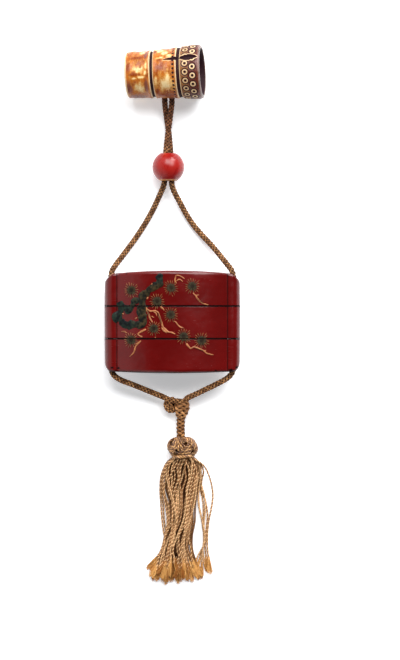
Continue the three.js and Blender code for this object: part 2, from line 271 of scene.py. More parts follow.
@dataclass(frozen=True)
class Finish:
    """A painted, dyed or polished surface. Its fixed numbers sit on the shader's own sockets."""

    name: str = "finish"
    roughness: float = 0.5
    specular: float = 0.5
    metallic: float = 0.0
    subsurface: float = 0.0
    glow: float = 0.0
    ground: Colour = (0.008, 0.003, 0.003)

    def paint(self, graph: Graph) -> Surface:
        """The parts that vary."""
        raise NotImplementedError

    def make(self) -> Material:
        """Builds the material.

        Returns:
            The material, with its shader linked.
        """
        material = bpy.data.materials.new(self.name)
        material.use_nodes = True
        tree = material.node_tree
        shader = tree.nodes["Principled BSDF"]
        fixed = {
            "Roughness": self.roughness,
            "Specular IOR Level": self.specular,
            "Metallic": self.metallic,
            "Subsurface Weight": self.subsurface,
            "Subsurface Scale": 1.2 * MM,
            "Emission Color": (0.96, 0.98, 1.0, 1.0),
            "Emission Strength": self.glow,
        }
        for name, value in fixed.items():
            shader.inputs[name].default_value = value
        surface = self.paint(Graph(tree))
        varied = {"Base Color": surface.colour, "Roughness": surface.roughness, "Normal": surface.normal}
        for name, value in varied.items():
            if value is not None:
                tree.links.new(value.socket, shader.inputs[name])
        if surface.matte is not None:
            self._mix_matte(tree, shader, surface.matte)
        return material

    def _mix_matte(self, tree: bpy.types.NodeTree, shader: bpy.types.Node, share: Value) -> None:
        """Mixes in a dark ground without any gloss, by a share.

        Args:
            tree: The material's tree.
            shader: The shader with the gloss.
            share: Share of the dark ground.
        """
        ground = tree.nodes.new("ShaderNodeBsdfPrincipled")
        ground.inputs["Base Color"].default_value = (*self.ground, 1.0)
        ground.inputs["Roughness"].default_value = 0.9
        ground.inputs["Specular IOR Level"].default_value = 0.0
        blend = tree.nodes.new("ShaderNodeMixShader")
        tree.links.new(share.socket, blend.inputs[0])
        tree.links.new(shader.outputs[0], blend.inputs[1])
        tree.links.new(ground.outputs[0], blend.inputs[2])
        tree.links.new(blend.outputs[0], tree.nodes["Material Output"].inputs["Surface"])


@dataclass(frozen=True)
class RedLacquer(Finish):
    """Deep red lacquer, chipped at its lower corners and darker along its foot, with painted shade in dark lines
    along the seams and the creases beside the ribs; the seam lines also carry some edge wear.
    """

    name: str = "red lacquer"
    roughness: float = 0.26
    specular: float = 0.42
    red: Colour = (0.112, 0.0011, 0.0008)
    deep: Colour = (0.088, 0.0009, 0.0007)
    # colour of the chips, the darker foot and the painted shade along the seams and rib creases
    worn: Colour = (0.005, 0.0015, 0.0015)
    seams: tuple[float, float] = SEAMS
    crease_x: float = 25.4
    chips: tuple[tuple[float, float, float], ...] = (
        (-24.6, -21.3, 0.8), (-27.6, -21.0, 0.8), (19.8, -22.3, 0.6), (26.8, -22.3, 1.1), (29.6, -20.9, 0.8),
        (-20.8, 21.9, 0.5),
    )

    def paint(self, graph: Graph) -> Surface:
        """Mottled red, with chips, a darker foot and painted shade along the seams and creases.

        Args:
            graph: The material's tree.

        Returns:
            What varies over the surface.
        """
        place = graph.millimetres()
        x, y, _ = graph.split(place)
        broad = graph.noise(place, 0.06, 4.0)
        fine = graph.noise(place, 1.4, 4.0, 0.65)
        streaks = graph.noise(graph.vector("MULTIPLY", place, (0.5, 3.2, 3.2)), 0.5, 4.0)
        colour = graph.mix(broad.smooth(0.35, 0.68), self.deep, self.red)
        colour = graph.mix(fine.smooth(0.62, 0.78) * 0.3, colour, (0.16, 0.004, 0.003))
        # dark, matte lines along the seams are painted shade in the joins, with some edge wear; those along the
        # rib creases are painted shade
        wear_and_shade = None
        for seam in self.seams:
            line = (abs(y - seam) + (fine - 0.5) * 0.5).smooth(0.52, 0.26)
            wear_and_shade = line if wear_and_shade is None else wear_and_shade.math("MAXIMUM", line)
        for crease in (-self.crease_x, self.crease_x):
            line = (abs(x - crease) + (fine - 0.5) * 0.5).smooth(0.4, 0.12) * 0.45
            wear_and_shade = wear_and_shade.math("MAXIMUM", line)
        foot = (y + (x * x) * -0.0011 + (fine - 0.5) * 1.2).smooth(-22.6, -23.6) * 0.7
        wear_and_shade = wear_and_shade.math("MAXIMUM", foot)
        for chip_x, chip_y, radius in self.chips:
            across, along = x - chip_x, (y - chip_y) * 1.5
            reach = (across * across + along * along).math("SQRT") + (fine - 0.5) * 2.4
            wear_and_shade = wear_and_shade.math("MAXIMUM", reach.smooth(radius, radius - 0.35))
        colour = graph.mix(wear_and_shade, colour, self.worn)
        rough = 0.2 + broad * 0.08 + streaks.smooth(0.5, 0.75) * 0.04
        ripple = graph.bump(graph.noise(place, 0.12, 2.0), 0.3)
        relief = graph.bump(fine * 0.35 + streaks * 0.08 - wear_and_shade * 2.0, 0.006, ripple)
        return Surface(colour, rough, relief, matte=wear_and_shade * 0.92)


@dataclass(frozen=True)
class BarkLacquer(Finish):
    """The raised trunk: greenish black, with bark lumps and a little gold."""

    name: str = "raised bark"
    roughness: float = 0.4
    specular: float = 0.1

    def paint(self, graph: Graph) -> Surface:
        """Green-black bark, browner to the right, with darker knots.

        Args:
            graph: The material's tree.

        Returns:
            What varies over the surface.
        """
        place = graph.millimetres()
        x, y, _ = graph.split(place)
        lumps = graph.noise(place, 0.5, 4.0, 0.6)
        fine = graph.noise(place, 1.7, 3.0)
        knots = graph.node("ShaderNodeTexVoronoi", inputs={"Vector": place, "Scale": 0.62})
        green = graph.mix(lumps.smooth(0.38, 0.62), (0.0040, 0.0055, 0.0065), (0.014, 0.025, 0.017))
        brown = graph.mix(lumps.smooth(0.36, 0.64), (0.010, 0.009, 0.005), (0.050, 0.033, 0.013))
        right = (x + (lumps - 0.5) * 14.0).smooth(-20.0, -9.0)
        colour = graph.mix(right * y.smooth(19.5, 15.0), green, brown)
        colour = graph.mix(knots.smooth(0.42, 0.2) * 0.8, colour, (0.0035, 0.0030, 0.0025))
        gold = (fine + (lumps - 0.5) * 0.8).smooth(0.66, 0.8) * right * 0.4
        colour = graph.mix(gold, colour, (0.12, 0.060, 0.018))
        return Surface(colour, None, graph.bump(lumps * 1.4 + fine * 0.5 + knots * 0.6, 0.14))


@dataclass(frozen=True)
class GoldPowder(Finish):
    """Sprinkled gold, worn towards orange."""

    name: str = "sprinkled gold"
    roughness: float = 0.42
    metallic: float = 0.25
    bright: Colour = (0.46, 0.170, 0.055)
    dull: Colour = (0.20, 0.056, 0.018)

    def paint(self, graph: Graph) -> Surface:
        """Gold that thins to a duller tone in patches.

        Args:
            graph: The material's tree.

        Returns:
            What varies over the surface.
        """
        place = graph.millimetres()
        grains = graph.noise(place, 2.6, 3.0, 0.7)
        patches = graph.noise(place, 0.35, 3.0)
        colour = graph.mix((grains * 0.6 + patches * 0.6).smooth(0.42, 0.72), self.dull, self.bright)
        return Surface(colour, 0.34 + grains * 0.2, graph.bump(grains, 0.03))


@dataclass(frozen=True)
class NeedlePowder(GoldPowder):
    """Pine needles: olive near the heart of a tuft and gold at their tips."""

    name: str = "needle gold"
    metallic: float = 0.0
    specular: float = 0.15
    heart: Colour = (0.064, 0.052, 0.024)

    def paint(self, graph: Graph) -> Surface:
        """The gold with its olive heart.

        Args:
            graph: The material's tree.

        Returns:
            What varies over the surface.
        """
        surface = super().paint(graph)
        grains = graph.noise(graph.millimetres(), 0.9, 2.0)
        gilt = (graph.attribute("out") + (grains - 0.5) * 0.9).smooth(0.6, 1.0)
        surface.colour = graph.mix(gilt, self.heart, surface.colour)
        return surface


@dataclass(frozen=True)
class Coral(Finish):
    """Polished coral with softly veined colour and a worn, golden lip at the mouth towards the case."""

    name: str = "coral"
    roughness: float = 0.3
    specular: float = 0.4
    subsurface: float = 0.05
    centre: Place = BEAD_CENTRE
    mouth: float = 3.4

    def paint(self, graph: Graph) -> Surface:
        """Coral red, lighter in clouds.

        Args:
            graph: The material's tree.

        Returns:
            What varies over the surface.
        """
        place = graph.millimetres()
        offset = graph.vector("SUBTRACT", place, self.centre)
        x, y, z = graph.split(offset)
        clouds = graph.noise(graph.vector("MULTIPLY", place, (1.0, 0.4, 1.0)), 0.3, 4.0)
        pits = graph.noise(place, 3.0, 2.0)
        colour = graph.mix(clouds.smooth(0.3, 0.7), (0.245, 0.0032, 0.0028), (0.32, 0.012, 0.008))
        colour = graph.mix(pits.smooth(0.68, 0.78) * 0.4, colour, (0.16, 0.004, 0.004))
        worn = (clouds + (pits - 0.5) * 0.6).smooth(0.55, 0.72) * y.smooth(2.0, 5.5) * x.smooth(1.0, -3.0)
        colour = graph.mix(worn * 0.75, colour, (0.46, 0.085, 0.014))
        from_axis = (x * x + z * z).math("SQRT") + (pits - 0.5) * 0.7
        lip = from_axis.smooth(self.mouth + 1.5, self.mouth + 0.8)
        colour = graph.mix(lip * y.smooth(0.5, -1.0), colour, (0.52, 0.20, 0.040))
        # painted shade: the inside of the bore is coloured dark
        bore = from_axis.smooth(self.mouth + 0.15, self.mouth - 0.15)
        colour = graph.mix(bore, colour, (0.10, 0.012, 0.010))
        return Surface(colour, 0.2 + clouds * 0.14, graph.bump(clouds + pits * 0.25, 0.05))


@dataclass(frozen=True)
class StainedHorn(Finish):
    """Honey-coloured horn with cream patches, partly painted highlights; plum patches, partly stain and partly
    painted shade on the lower left; every cut dyed dark, and painted shade inside the bore.
    """

    name: str = "stained horn"
    specular: float = 0.3
    ground: Colour = (0.020, 0.005, 0.008)

    def paint(self, graph: Graph) -> Surface:
        """Colours laid over each other from the masks that the toggle's mesh holds.

        Args:
            graph: The material's tree.

        Returns:
            What varies over the surface.
        """
        place = graph.millimetres()
        clouds = graph.noise(place, 0.28, 4.0, 0.6)
        fine = graph.noise(place, 1.5, 4.0, 0.65)
        grain = graph.noise(graph.vector("MULTIPLY", place, (1.0, 0.4, 0.4)), 0.8, 4.0, 0.65)
        honey = graph.mix(clouds.smooth(0.36, 0.62), (0.24, 0.047, 0.0045), (0.45, 0.128, 0.013))
        honey = graph.mix(grain.smooth(0.46, 0.7) * 0.7, honey, (0.50, 0.215, 0.042))
        spread = (fine - 0.5) * 0.7 + (grain - 0.5) * 2.4 + (clouds - 0.5) * 1.2
        # pale: the horn's cream, and painted highlights where the carved facets catch the light
        pale = graph.attribute("pale") * 1.2 + spread - 0.06
        colour = graph.mix(pale.smooth(0.05, 0.8), honey, (0.56, 0.27, 0.062))
        colour = graph.mix(pale.smooth(0.5, 1.35), colour, (0.80, 0.60, 0.30))
        rust = (graph.attribute("rust") + (clouds - 0.5) * 1.4 + (fine - 0.5) * 0.8).smooth(0.3, 0.95)
        colour = graph.mix(rust * 0.85, colour, (0.19, 0.028, 0.0035))
        # plum: stain, and painted shade on the lower left of the toggle
        plum = (graph.attribute("plum") + (clouds - 0.5) * 1.2 + (fine - 0.5) * 0.8).smooth(0.3, 0.95)
        colour = graph.mix(plum * 0.85, colour, (0.15, 0.036, 0.024))
        mottle = (fine + graph.attribute("reddish") * 0.35).smooth(0.42, 0.68)
        collar = graph.mix(mottle, (0.245, 0.105, 0.030), (0.095, 0.018, 0.010))
        colour = graph.mix(graph.attribute("collar"), colour, collar)
        cream = (graph.attribute("cream") + (fine - 0.5) * 0.4).smooth(0.25, 0.75)
        colour = graph.mix(cream, colour, (0.66, 0.46, 0.25))
        grey = (graph.attribute("grey") + (fine - 0.5) * 0.5).smooth(0.3, 0.7)
        worn_rim = graph.mix(clouds.smooth(0.4, 0.6), (0.22, 0.13, 0.11), (0.12, 0.08, 0.06))
        colour = graph.mix(grey, colour, worn_rim)
        # dark dyed cuts, and painted shade on the inside of the bore
        dye_and_bore_shade = graph.mix(fine.smooth(0.4, 0.7), (0.012, 0.003, 0.004), (0.040, 0.009, 0.017))
        dark = (graph.attribute("dye_and_bore_shade") + (fine - 0.5) * 0.25).smooth(0.3, 0.62)
        colour = graph.mix(dark, colour, dye_and_bore_shade)
        rough = 0.2 + fine * 0.16 + dark * 0.35
        relief = graph.bump(clouds * 1.2 + grain * 0.8 + fine * 0.3, 0.2)
        return Surface(colour, rough, relief, matte=dark * 0.55)


@dataclass(frozen=True)
class Yarn(Finish):
    """Dyed silk yarn. Each strand has its own tone, with fibres along it; painted shade darkens the grooves
    between strands and the strands' sides.
    """

    name: str = "yarn"
    roughness: float = 0.55
    specular: float = 0.2
    light: Colour = (0.42, 0.205, 0.066)
    dark: Colour = (0.115, 0.045, 0.014)
    # colour of the painted shade in the grooves between strands
    gap: Colour = (0.014, 0.005, 0.002)
    deep: tuple[float, float] = (0.66, 0.94)
    soiling: float = 0.35
    streak: float = 0.4
    shade: Colour = (0.55, 0.45, 0.38)

    def paint(self, graph: Graph) -> Surface:
        """Tone by strand, soiling in slow patches, painted shade on the sides and in the grooves, and a fine
        fibre bump.

        Args:
            graph: The material's tree.

        Returns:
            What varies over the surface.
        """
        place = graph.millimetres()
        along = graph.attribute("along")
        tone = graph.attribute("tone")
        lines = graph.combined(along * 0.35, tone * 37.0, 0.0)
        drift = graph.noise(lines, 0.9, 2.0)
        fibres = graph.noise(place, 4.5, 3.0, 0.7)
        patches = graph.noise(place, 0.14, 3.0)
        mixed = tone * self.streak + drift * (0.9 - self.streak) + (fibres - 0.5) * 0.7
        colour = graph.mix(mixed.smooth(0.15, 0.8), self.dark, self.light)
        dirt = patches.smooth(0.45, 0.7) * self.soiling
        colour = graph.mix(dirt, colour, self.dark)
        # painted shade: darker where a strand's side turns away from straight up or down
        _, _, facing = graph.split(graph.node("ShaderNodeTexCoord", output="Normal"))
        turned = abs(facing).smooth(0.85, 0.1)
        colour = graph.mix(turned, colour, graph.tint(1.0, colour, self.shade))
        # painted shade in the grooves between strands, by the stored rise
        colour = graph.mix(graph.attribute("rise").smooth(*self.deep), self.gap, colour)
        return Surface(colour, None, graph.bump(fibres, 0.06))


@dataclass(frozen=True)
class CordYarn(Yarn):
    """The cords' yarn, with painted shade and a redder tone towards the toggle, and painted light on the lower
    cords by the knot.
    """

    name: str = "cord yarn"
    light: Colour = (0.44, 0.215, 0.084)
    deep: tuple[float, float] = (0.7, 0.97)
    toggle_shade_and_tint: tuple[float, float] = (58.0, 100.0)

    def paint(self, graph: Graph) -> Surface:
        """The yarn, with painted shade and a redder tone towards the toggle, and painted light on the lower
        cords.

        Args:
            graph: The material's tree.

        Returns:
            What varies over the surface.
        """
        surface = super().paint(graph)
        _, y, _ = graph.split(graph.millimetres())
        # painted shade of the toggle on the cords near it, with a redder tone
        colour = graph.tint(y.smooth(*self.toggle_shade_and_tint) * 0.8, surface.colour, (0.62, 0.42, 0.46))
        # painted light: the lower cords by the knot are made brighter
        surface.colour = graph.scaled(colour, 1.25 + y.smooth(-18.0, -27.0) * 0.5)
        return surface


@dataclass(frozen=True)
class HeadYarn(Yarn):
    """The tassel head's yarn, with painted shade where a cord dips under another."""

    name: str = "head yarn"
    centre: Place = HEAD_CENTRE
    radii: Place = HEAD_RADII
    sunk: tuple[float, float] = (0.76, 0.92)

    def paint(self, graph: Graph) -> Surface:
        """The yarn, with painted shade below a depth.

        Args:
            graph: The material's tree.

        Returns:
            What varies over the surface.
        """
        surface = super().paint(graph)
        offset = graph.vector("SUBTRACT", graph.millimetres(), self.centre)
        offset = graph.vector("DIVIDE", offset, self.radii)
        reach = graph.node("ShaderNodeVectorMath", {"operation": "LENGTH"}, {0: offset}, "Value")
        # painted shade where the cords dip towards the core
        surface.colour = graph.mix(reach.smooth(*self.sunk), self.gap, surface.colour)
        return surface


@dataclass(frozen=True)
class Shadow(Finish):
    """A dark heart inside a braid or a wrapped head: painted shade, seen only between strands."""

    name: str = "braid heart"
    roughness: float = 0.9
    specular: float = 0.1
    tone: Colour = (0.022, 0.009, 0.004)

    def paint(self, graph: Graph) -> Surface:
        """Dark brown with a fibre noise: painted shade between strands."""
        fibres = graph.noise(graph.millimetres(), 2.5, 3.0)
        return Surface(graph.tint(fibres, self.tone, (0.4, 0.4, 0.4)))


@dataclass(frozen=True)
class Paper(Finish):
    """The pale plain floor."""

    name: str = "pale floor"
    roughness: float = 0.9
    specular: float = 0.0
    glow: float = 0.36

    def paint(self, graph: Graph) -> Surface:
        """Very slightly uneven white."""
        grain = graph.noise(graph.millimetres(), 0.02, 2.0)
        return Surface(graph.mix(grain, (0.92, 0.925, 0.935), (0.94, 0.945, 0.955)))


# ---------------------------------------------------------------- mesh helpers


def to_object(name: str, points: Array, faces: list[Face], material: Material) -> Piece:
    """Makes an object at the origin from points in millimetres.

    Args:
        name: The object's name.
        points: Points, three numbers each.
        faces: Point numbers of each face.
        material: The finish.

    Returns:
        The object, smooth shaded, linked to the scene.
    """
    mesh = bpy.data.meshes.new(name)
    mesh.from_pydata((np.asarray(points) * MM).tolist(), [], faces)
    mesh.materials.append(material)
    mesh.update()
    made = bpy.data.objects.new(name, mesh)
    bpy.context.scene.collection.objects.link(made)
    weld(made)
    return made


def weld(piece: Piece, distance: float = 0.001) -> None:
    """Merges doubles, turns every face outwards and shades smooth.

    Args:
        piece: The piece.
        distance: How near doubles lie, in millimetres.
    """
    working = bmesh.new()
    working.from_mesh(piece.data)
    bmesh.ops.remove_doubles(working, verts=working.verts, dist=distance * MM)
    bmesh.ops.dissolve_degenerate(working, edges=working.edges, dist=distance * MM * 0.5)
    bmesh.ops.recalc_face_normals(working, faces=working.faces)
    working.to_mesh(piece.data)
    working.free()
    piece.data.shade_smooth()


def loft_faces(rings: int, around: int) -> list[Face]:
    """The four-sided faces of a closed skin over rings of points.

    Args:
        rings: How many rings.
        around: How many points in each.

    Returns:
        Point numbers of each face.
    """
    start = np.arange(rings - 1)[:, None] * around
    here = np.arange(around)[None, :]
    after = (here + 1) % around
    faces = np.stack([start + here, start + after, start + around + after, start + around + here], -1)
    return [tuple(face) for face in faces.reshape(-1, 4).tolist()]


def cut(piece: Piece, cutter: Piece) -> None:
    """Takes one solid out of another, and removes the cutter.

    Args:
        piece: The solid that is cut.
        cutter: The solid that is taken out of it.
    """
    modifier = piece.modifiers.new("cut", "BOOLEAN")
    modifier.operation = "DIFFERENCE"
    modifier.solver = "EXACT"
    modifier.object = cutter
    view = bpy.context.evaluated_depsgraph_get()
    mesh = bpy.data.meshes.new_from_object(piece.evaluated_get(view))
    piece.modifiers.remove(modifier)
    piece.data = mesh
    bpy.data.objects.remove(cutter)


def sharpen(piece: Piece, degrees: float = 38.0) -> None:
    """Keeps the folds that are sharper than an angle crisp."""
    piece.data.shade_smooth()
    piece.data.set_sharp_from_angle(angle=math.radians(degrees))


def dress(piece: Piece, slot: Slot, *nodes: str) -> Piece:
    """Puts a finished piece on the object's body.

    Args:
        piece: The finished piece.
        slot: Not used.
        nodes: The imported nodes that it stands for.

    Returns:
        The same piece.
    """
    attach(piece, BODY)
    if nodes:
        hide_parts(*nodes)
    triangles = sum(len(face.vertices) - 2 for face in piece.data.polygons)
    log.info("%s: %d triangles", piece.name, triangles)
    return piece


def eased(value: Array, low: float, high: float) -> Array:
    """0 below one level and 1 above another, easing between them."""
    share = np.clip((value - low) / (high - low), 0.0, 1.0)
    return share * share * (3 - 2 * share)


def through(points: list[Place] | Array, spacing: float = 0.5) -> Array:
    """A smooth curve through points, as evenly spaced points.

    Args:
        points: The points, in millimetres.
        spacing: The distance between the points that come out.

    Returns:
        Points along the centripetal curve.
    """
    known = np.asarray(points, float)
    padded = np.vstack([2 * known[0] - known[1], known, 2 * known[-1] - known[-2]])
    pieces = []
    share = np.linspace(0, 1, 24, endpoint=False)[:, None]
    for i in range(len(known) - 1):
        p = padded[i : i + 4]
        gaps = np.maximum(np.linalg.norm(np.diff(p, axis=0), axis=1) ** 0.5, 1e-4)
        before = (p[1] - p[0]) / gaps[0] - (p[2] - p[0]) / (gaps[0] + gaps[1]) + (p[2] - p[1]) / gaps[1]
        after = (p[2] - p[1]) / gaps[1] - (p[3] - p[1]) / (gaps[1] + gaps[2]) + (p[3] - p[2]) / gaps[2]
        before, after = before * gaps[1], after * gaps[1]
        cubic = 2 * p[1] - 2 * p[2] + before + after
        square = -3 * p[1] + 3 * p[2] - 2 * before - after
        pieces.append(cubic * share**3 + square * share**2 + before * share + p[1])
    dense = np.vstack([*pieces, known[-1:]])
    length = np.concatenate([[0], np.cumsum(np.linalg.norm(np.diff(dense, axis=0), axis=1))])
    wanted = np.linspace(0, length[-1], max(3, int(length[-1] / spacing) + 1))
    return np.stack([np.interp(wanted, length, dense[:, axis]) for axis in range(3)], axis=1)


# ---------------------------------------------------------------- Geometry Nodes recipes


class Recipe:
    """A Geometry Nodes tree with named inputs, run once on a seed mesh to give a plain mesh."""

    def __init__(self, name: str) -> None:
        """Starts the tree with its geometry and material inputs.

        Args:
            name: The tree's name.
        """
        self.tree = bpy.data.node_groups.new(name, "GeometryNodeTree")
        self.graph = Graph(self.tree)
        self.identifiers: dict[str, str] = {}
        self.source = self.tree.nodes.new("NodeGroupInput")
        self.tree.interface.new_socket("Geometry", in_out="OUTPUT", socket_type="NodeSocketGeometry")
        self.seed = self.entry("Geometry", "NodeSocketGeometry")
        self.material = self.entry("Material", "NodeSocketMaterial")

    def entry(self, name: str, kind: str = "NodeSocketFloat") -> Value:
        """Adds a named input.

        Args:
            name: The input's name.
            kind: Its socket type.

        Returns:
            The input, inside the tree.
        """
        socket = self.tree.interface.new_socket(name, in_out="INPUT", socket_type=kind)
        self.identifiers[name] = socket.identifier
        return Value(self.graph, self.source.outputs[name])

    def stored(self, geometry: Value, name: str, value: Value, kind: str = "FLOAT") -> Value:
        """Stores a number or a vector on every point.

        Args:
            geometry: The points.
            name: The name that it is stored under.
            value: What is stored.
            kind: Its data type.

        Returns:
            The points with it.
        """
        settings = {"data_type": kind, "domain": "POINT"}
        inputs = {"Geometry": geometry, "Name": name, "Value": value}
        return self.graph.node("GeometryNodeStoreNamedAttribute", settings, inputs)

    def read(self, name: str, kind: str = "FLOAT") -> Value:
        """Reads a named number or vector back."""
        return self.graph.node("GeometryNodeInputNamedAttribute", {"data_type": kind}, {"Name": name})

    def close(self, geometry: Value) -> None:
        """Ends the tree in real geometry with its material.

        Args:
            geometry: What the tree has made.
        """
        real = self.graph.node("GeometryNodeRealizeInstances", inputs={"Geometry": geometry})
        inputs = {"Geometry": real, "Material": self.material}
        painted = self.graph.node("GeometryNodeSetMaterial", inputs=inputs)
        sink = self.tree.nodes.new("NodeGroupOutput")
        self.tree.links.new(painted.socket, sink.inputs[0])

    def run(self, name: str, seed: bpy.types.Mesh, **numbers: object) -> Piece:
        """Grows the tree on a seed mesh in millimetres.

        Args:
            name: Name of the finished piece.
            seed: The mesh that the tree starts from.
            numbers: A value for each named input, with spaces written as underscores.

        Returns:
            A plain mesh object in metres at the origin.
        """
        piece = bpy.data.objects.new(name, seed)
        bpy.context.scene.collection.objects.link(piece)
        modifier = piece.modifiers.new("recipe", "NODES")
        modifier.node_group = self.tree
        for key, value in numbers.items():
            modifier[self.identifiers[key.replace("_", " ")]] = value
        view = bpy.context.evaluated_depsgraph_get()
        mesh = bpy.data.meshes.new_from_object(piece.evaluated_get(view))
        piece.modifiers.remove(modifier)
        piece.data = mesh
        mesh.name = name
        for spare in ("turn_n", "turn_t", "turn_a", "twist", "girth"):
            if spare in mesh.attributes:
                mesh.attributes.remove(mesh.attributes[spare])
        mesh.transform(((MM, 0, 0, 0), (0, MM, 0, 0), (0, 0, MM, 0), (0, 0, 0, 1)))
        mesh.shade_smooth()
        return piece


def seed_lines(lines: list[Array], **attributes: list[Array]) -> bpy.types.Mesh:
    """A mesh of open lines for a recipe.

    Args:
        lines: The points of each line, in millimetres.
        attributes: For each name, one number for every point of each line.

    Returns:
        A mesh of edges that holds the attributes.
    """
    starts = np.concatenate([[0], np.cumsum([len(line) for line in lines])])
    edges = [(int(a) + i, int(a) + i + 1) for a, line in zip(starts, lines) for i in range(len(line) - 1)]
    mesh = bpy.data.meshes.new("lines")
    mesh.from_pydata(np.vstack(lines).tolist(), edges, [])
    for name, values in attributes.items():
        layer = mesh.attributes.new(name, "FLOAT", "POINT")
        layer.data.foreach_set("value", np.concatenate(values).astype(np.float32))
    return mesh


class LaidStrands(Recipe):
    """Strands that turn round a line: all one way as plies, or half each way, woven as a braid."""

    def __init__(self) -> None:
        """Builds the tree."""
        super().__init__("laid strands")
        graph = self.graph
        strands = self.entry("Strands", "NodeSocketInt")
        both_ways = self.entry("Both ways")
        pitch = self.entry("Pitch")
        orbit = self.entry("Orbit")
        wave = self.entry("Wave")
        thickness = self.entry("Thickness")
        step = self.entry("Step")
        sides = self.entry("Sides", "NodeSocketInt")

        curve = graph.node("GeometryNodeMeshToCurve", inputs={"Mesh": self.seed})
        inputs = {"Curve": curve, "Length": step}
        curve = graph.node("GeometryNodeResampleCurve", {"mode": "LENGTH"}, inputs)
        length = graph.node("GeometryNodeSplineParameter", output="Length")
        curve = self.stored(curve, "along", length)
        curve = self.stored(curve, "twist", self.read("tone"))
        curve = self.stored(curve, "turn_n", graph.node("GeometryNodeInputNormal"), "FLOAT_VECTOR")
        curve = self.stored(curve, "turn_t", graph.node("GeometryNodeInputTangent"), "FLOAT_VECTOR")
        curve = self.stored(curve, "turn_a", graph.node("GeometryNodeInputPosition"), "FLOAT_VECTOR")
        inputs = {"Geometry": curve, "Amount": strands}
        copies = graph.node("GeometryNodeDuplicateElements", {"domain": "SPLINE"}, inputs)
        index = copies.also("Duplicate Index")

        along = self.read("along")
        girth = self.read("girth")
        normal = self.read("turn_n", "FLOAT_VECTOR")
        tangent = self.read("turn_t", "FLOAT_VECTOR")
        side = graph.vector("CROSS_PRODUCT", tangent, normal)
        odd = (index % 2.0) * both_ways
        way = 1 - odd * 2
        first = (index / (both_ways + 1)).math("FLOOR")
        phase = first * (both_ways + 1) / strands * math.tau
        turn = along / pitch * math.tau * way + phase + self.read("twist") * math.tau
        weave = (along / pitch * strands * math.pi).math("COSINE") * way * wave
        radius = (weave + orbit) * girth
        out = graph.scaled(normal, turn.math("COSINE") * radius)
        across = graph.scaled(side, turn.math("SINE") * radius)
        toned = self.stored(copies, "tone", (self.read("tone") + index * 0.381966) % 1.0)
        inputs = {"Geometry": toned, "Offset": graph.vector("ADD", out, across)}
        placed = graph.node("GeometryNodeSetPosition", inputs=inputs)
        inputs = {"Resolution": sides, "Radius": 1.0}
        ring = graph.node("GeometryNodeCurvePrimitiveCircle", {"mode": "RADIUS"}, inputs, "Curve")
        inputs = {"Curve": placed, "Profile Curve": ring, "Scale": girth * thickness, "Fill Caps": True}
        swept = graph.node("GeometryNodeCurveToMesh", inputs=inputs)
        place = graph.node("GeometryNodeInputPosition")
        from_axis = graph.vector("SUBTRACT", place, self.read("turn_a", "FLOAT_VECTOR"))
        settings = {"operation": "LENGTH"}
        distance = graph.node("ShaderNodeVectorMath", settings, {0: from_axis}, "Value")
        self.close(self.stored(swept, "rise", distance / (orbit + wave + thickness) / girth))


@dataclass(frozen=True)
class Lay:
    """How strands lie in a cord: their number, size and turn, in millimetres."""

    strands: int
    both_ways: float
    pitch: float
    orbit: float
    wave: float
    thickness: float
    step: float
    sides: int = 6

    def grow(
        self,
        recipe: LaidStrands,
        name: str,
        lines: list[Array],
        material: Material,
        girth: list[Array] | None = None,
        tone: list[float] | None = None,
    ) -> Piece:
        """Grows the strands along lines.

        Args:
            recipe: The tree that lays them.
            name: Name of the piece.
            lines: The lines that the cord follows.
            material: Its finish.
            girth: How thick each line is along its way, as a share.
            tone: A tone from 0 to 1 for each line.

        Returns:
            The piece.
        """
        girths = girth or [np.ones(len(line)) for line in lines]
        tones = [np.full(len(line), t) for line, t in zip(lines, tone or [0.0] * len(lines))]
        return recipe.run(
            name,
            seed_lines(lines, girth=girths, tone=tones),
            Material=material,
            Strands=self.strands,
            Both_ways=self.both_ways,
            Pitch=self.pitch,
            Orbit=self.orbit,
            Wave=self.wave,
            Thickness=self.thickness,
            Step=self.step,
            Sides=self.sides,
        )


def joined(name: str, pieces: list[Piece]) -> Piece:
    """Joins pieces into the first one and renames it.

    Args:
        name: Name of the joined piece.
        pieces: The pieces; the first takes in the others.

    Returns:
        The joined piece.
    """
    with bpy.context.temp_override(active_object=pieces[0], selected_editable_objects=pieces):
        bpy.ops.object.join()
    pieces[0].name = name
    pieces[0].data.name = name
    return pieces[0]


# ---------------------------------------------------------------- camera, light and floor


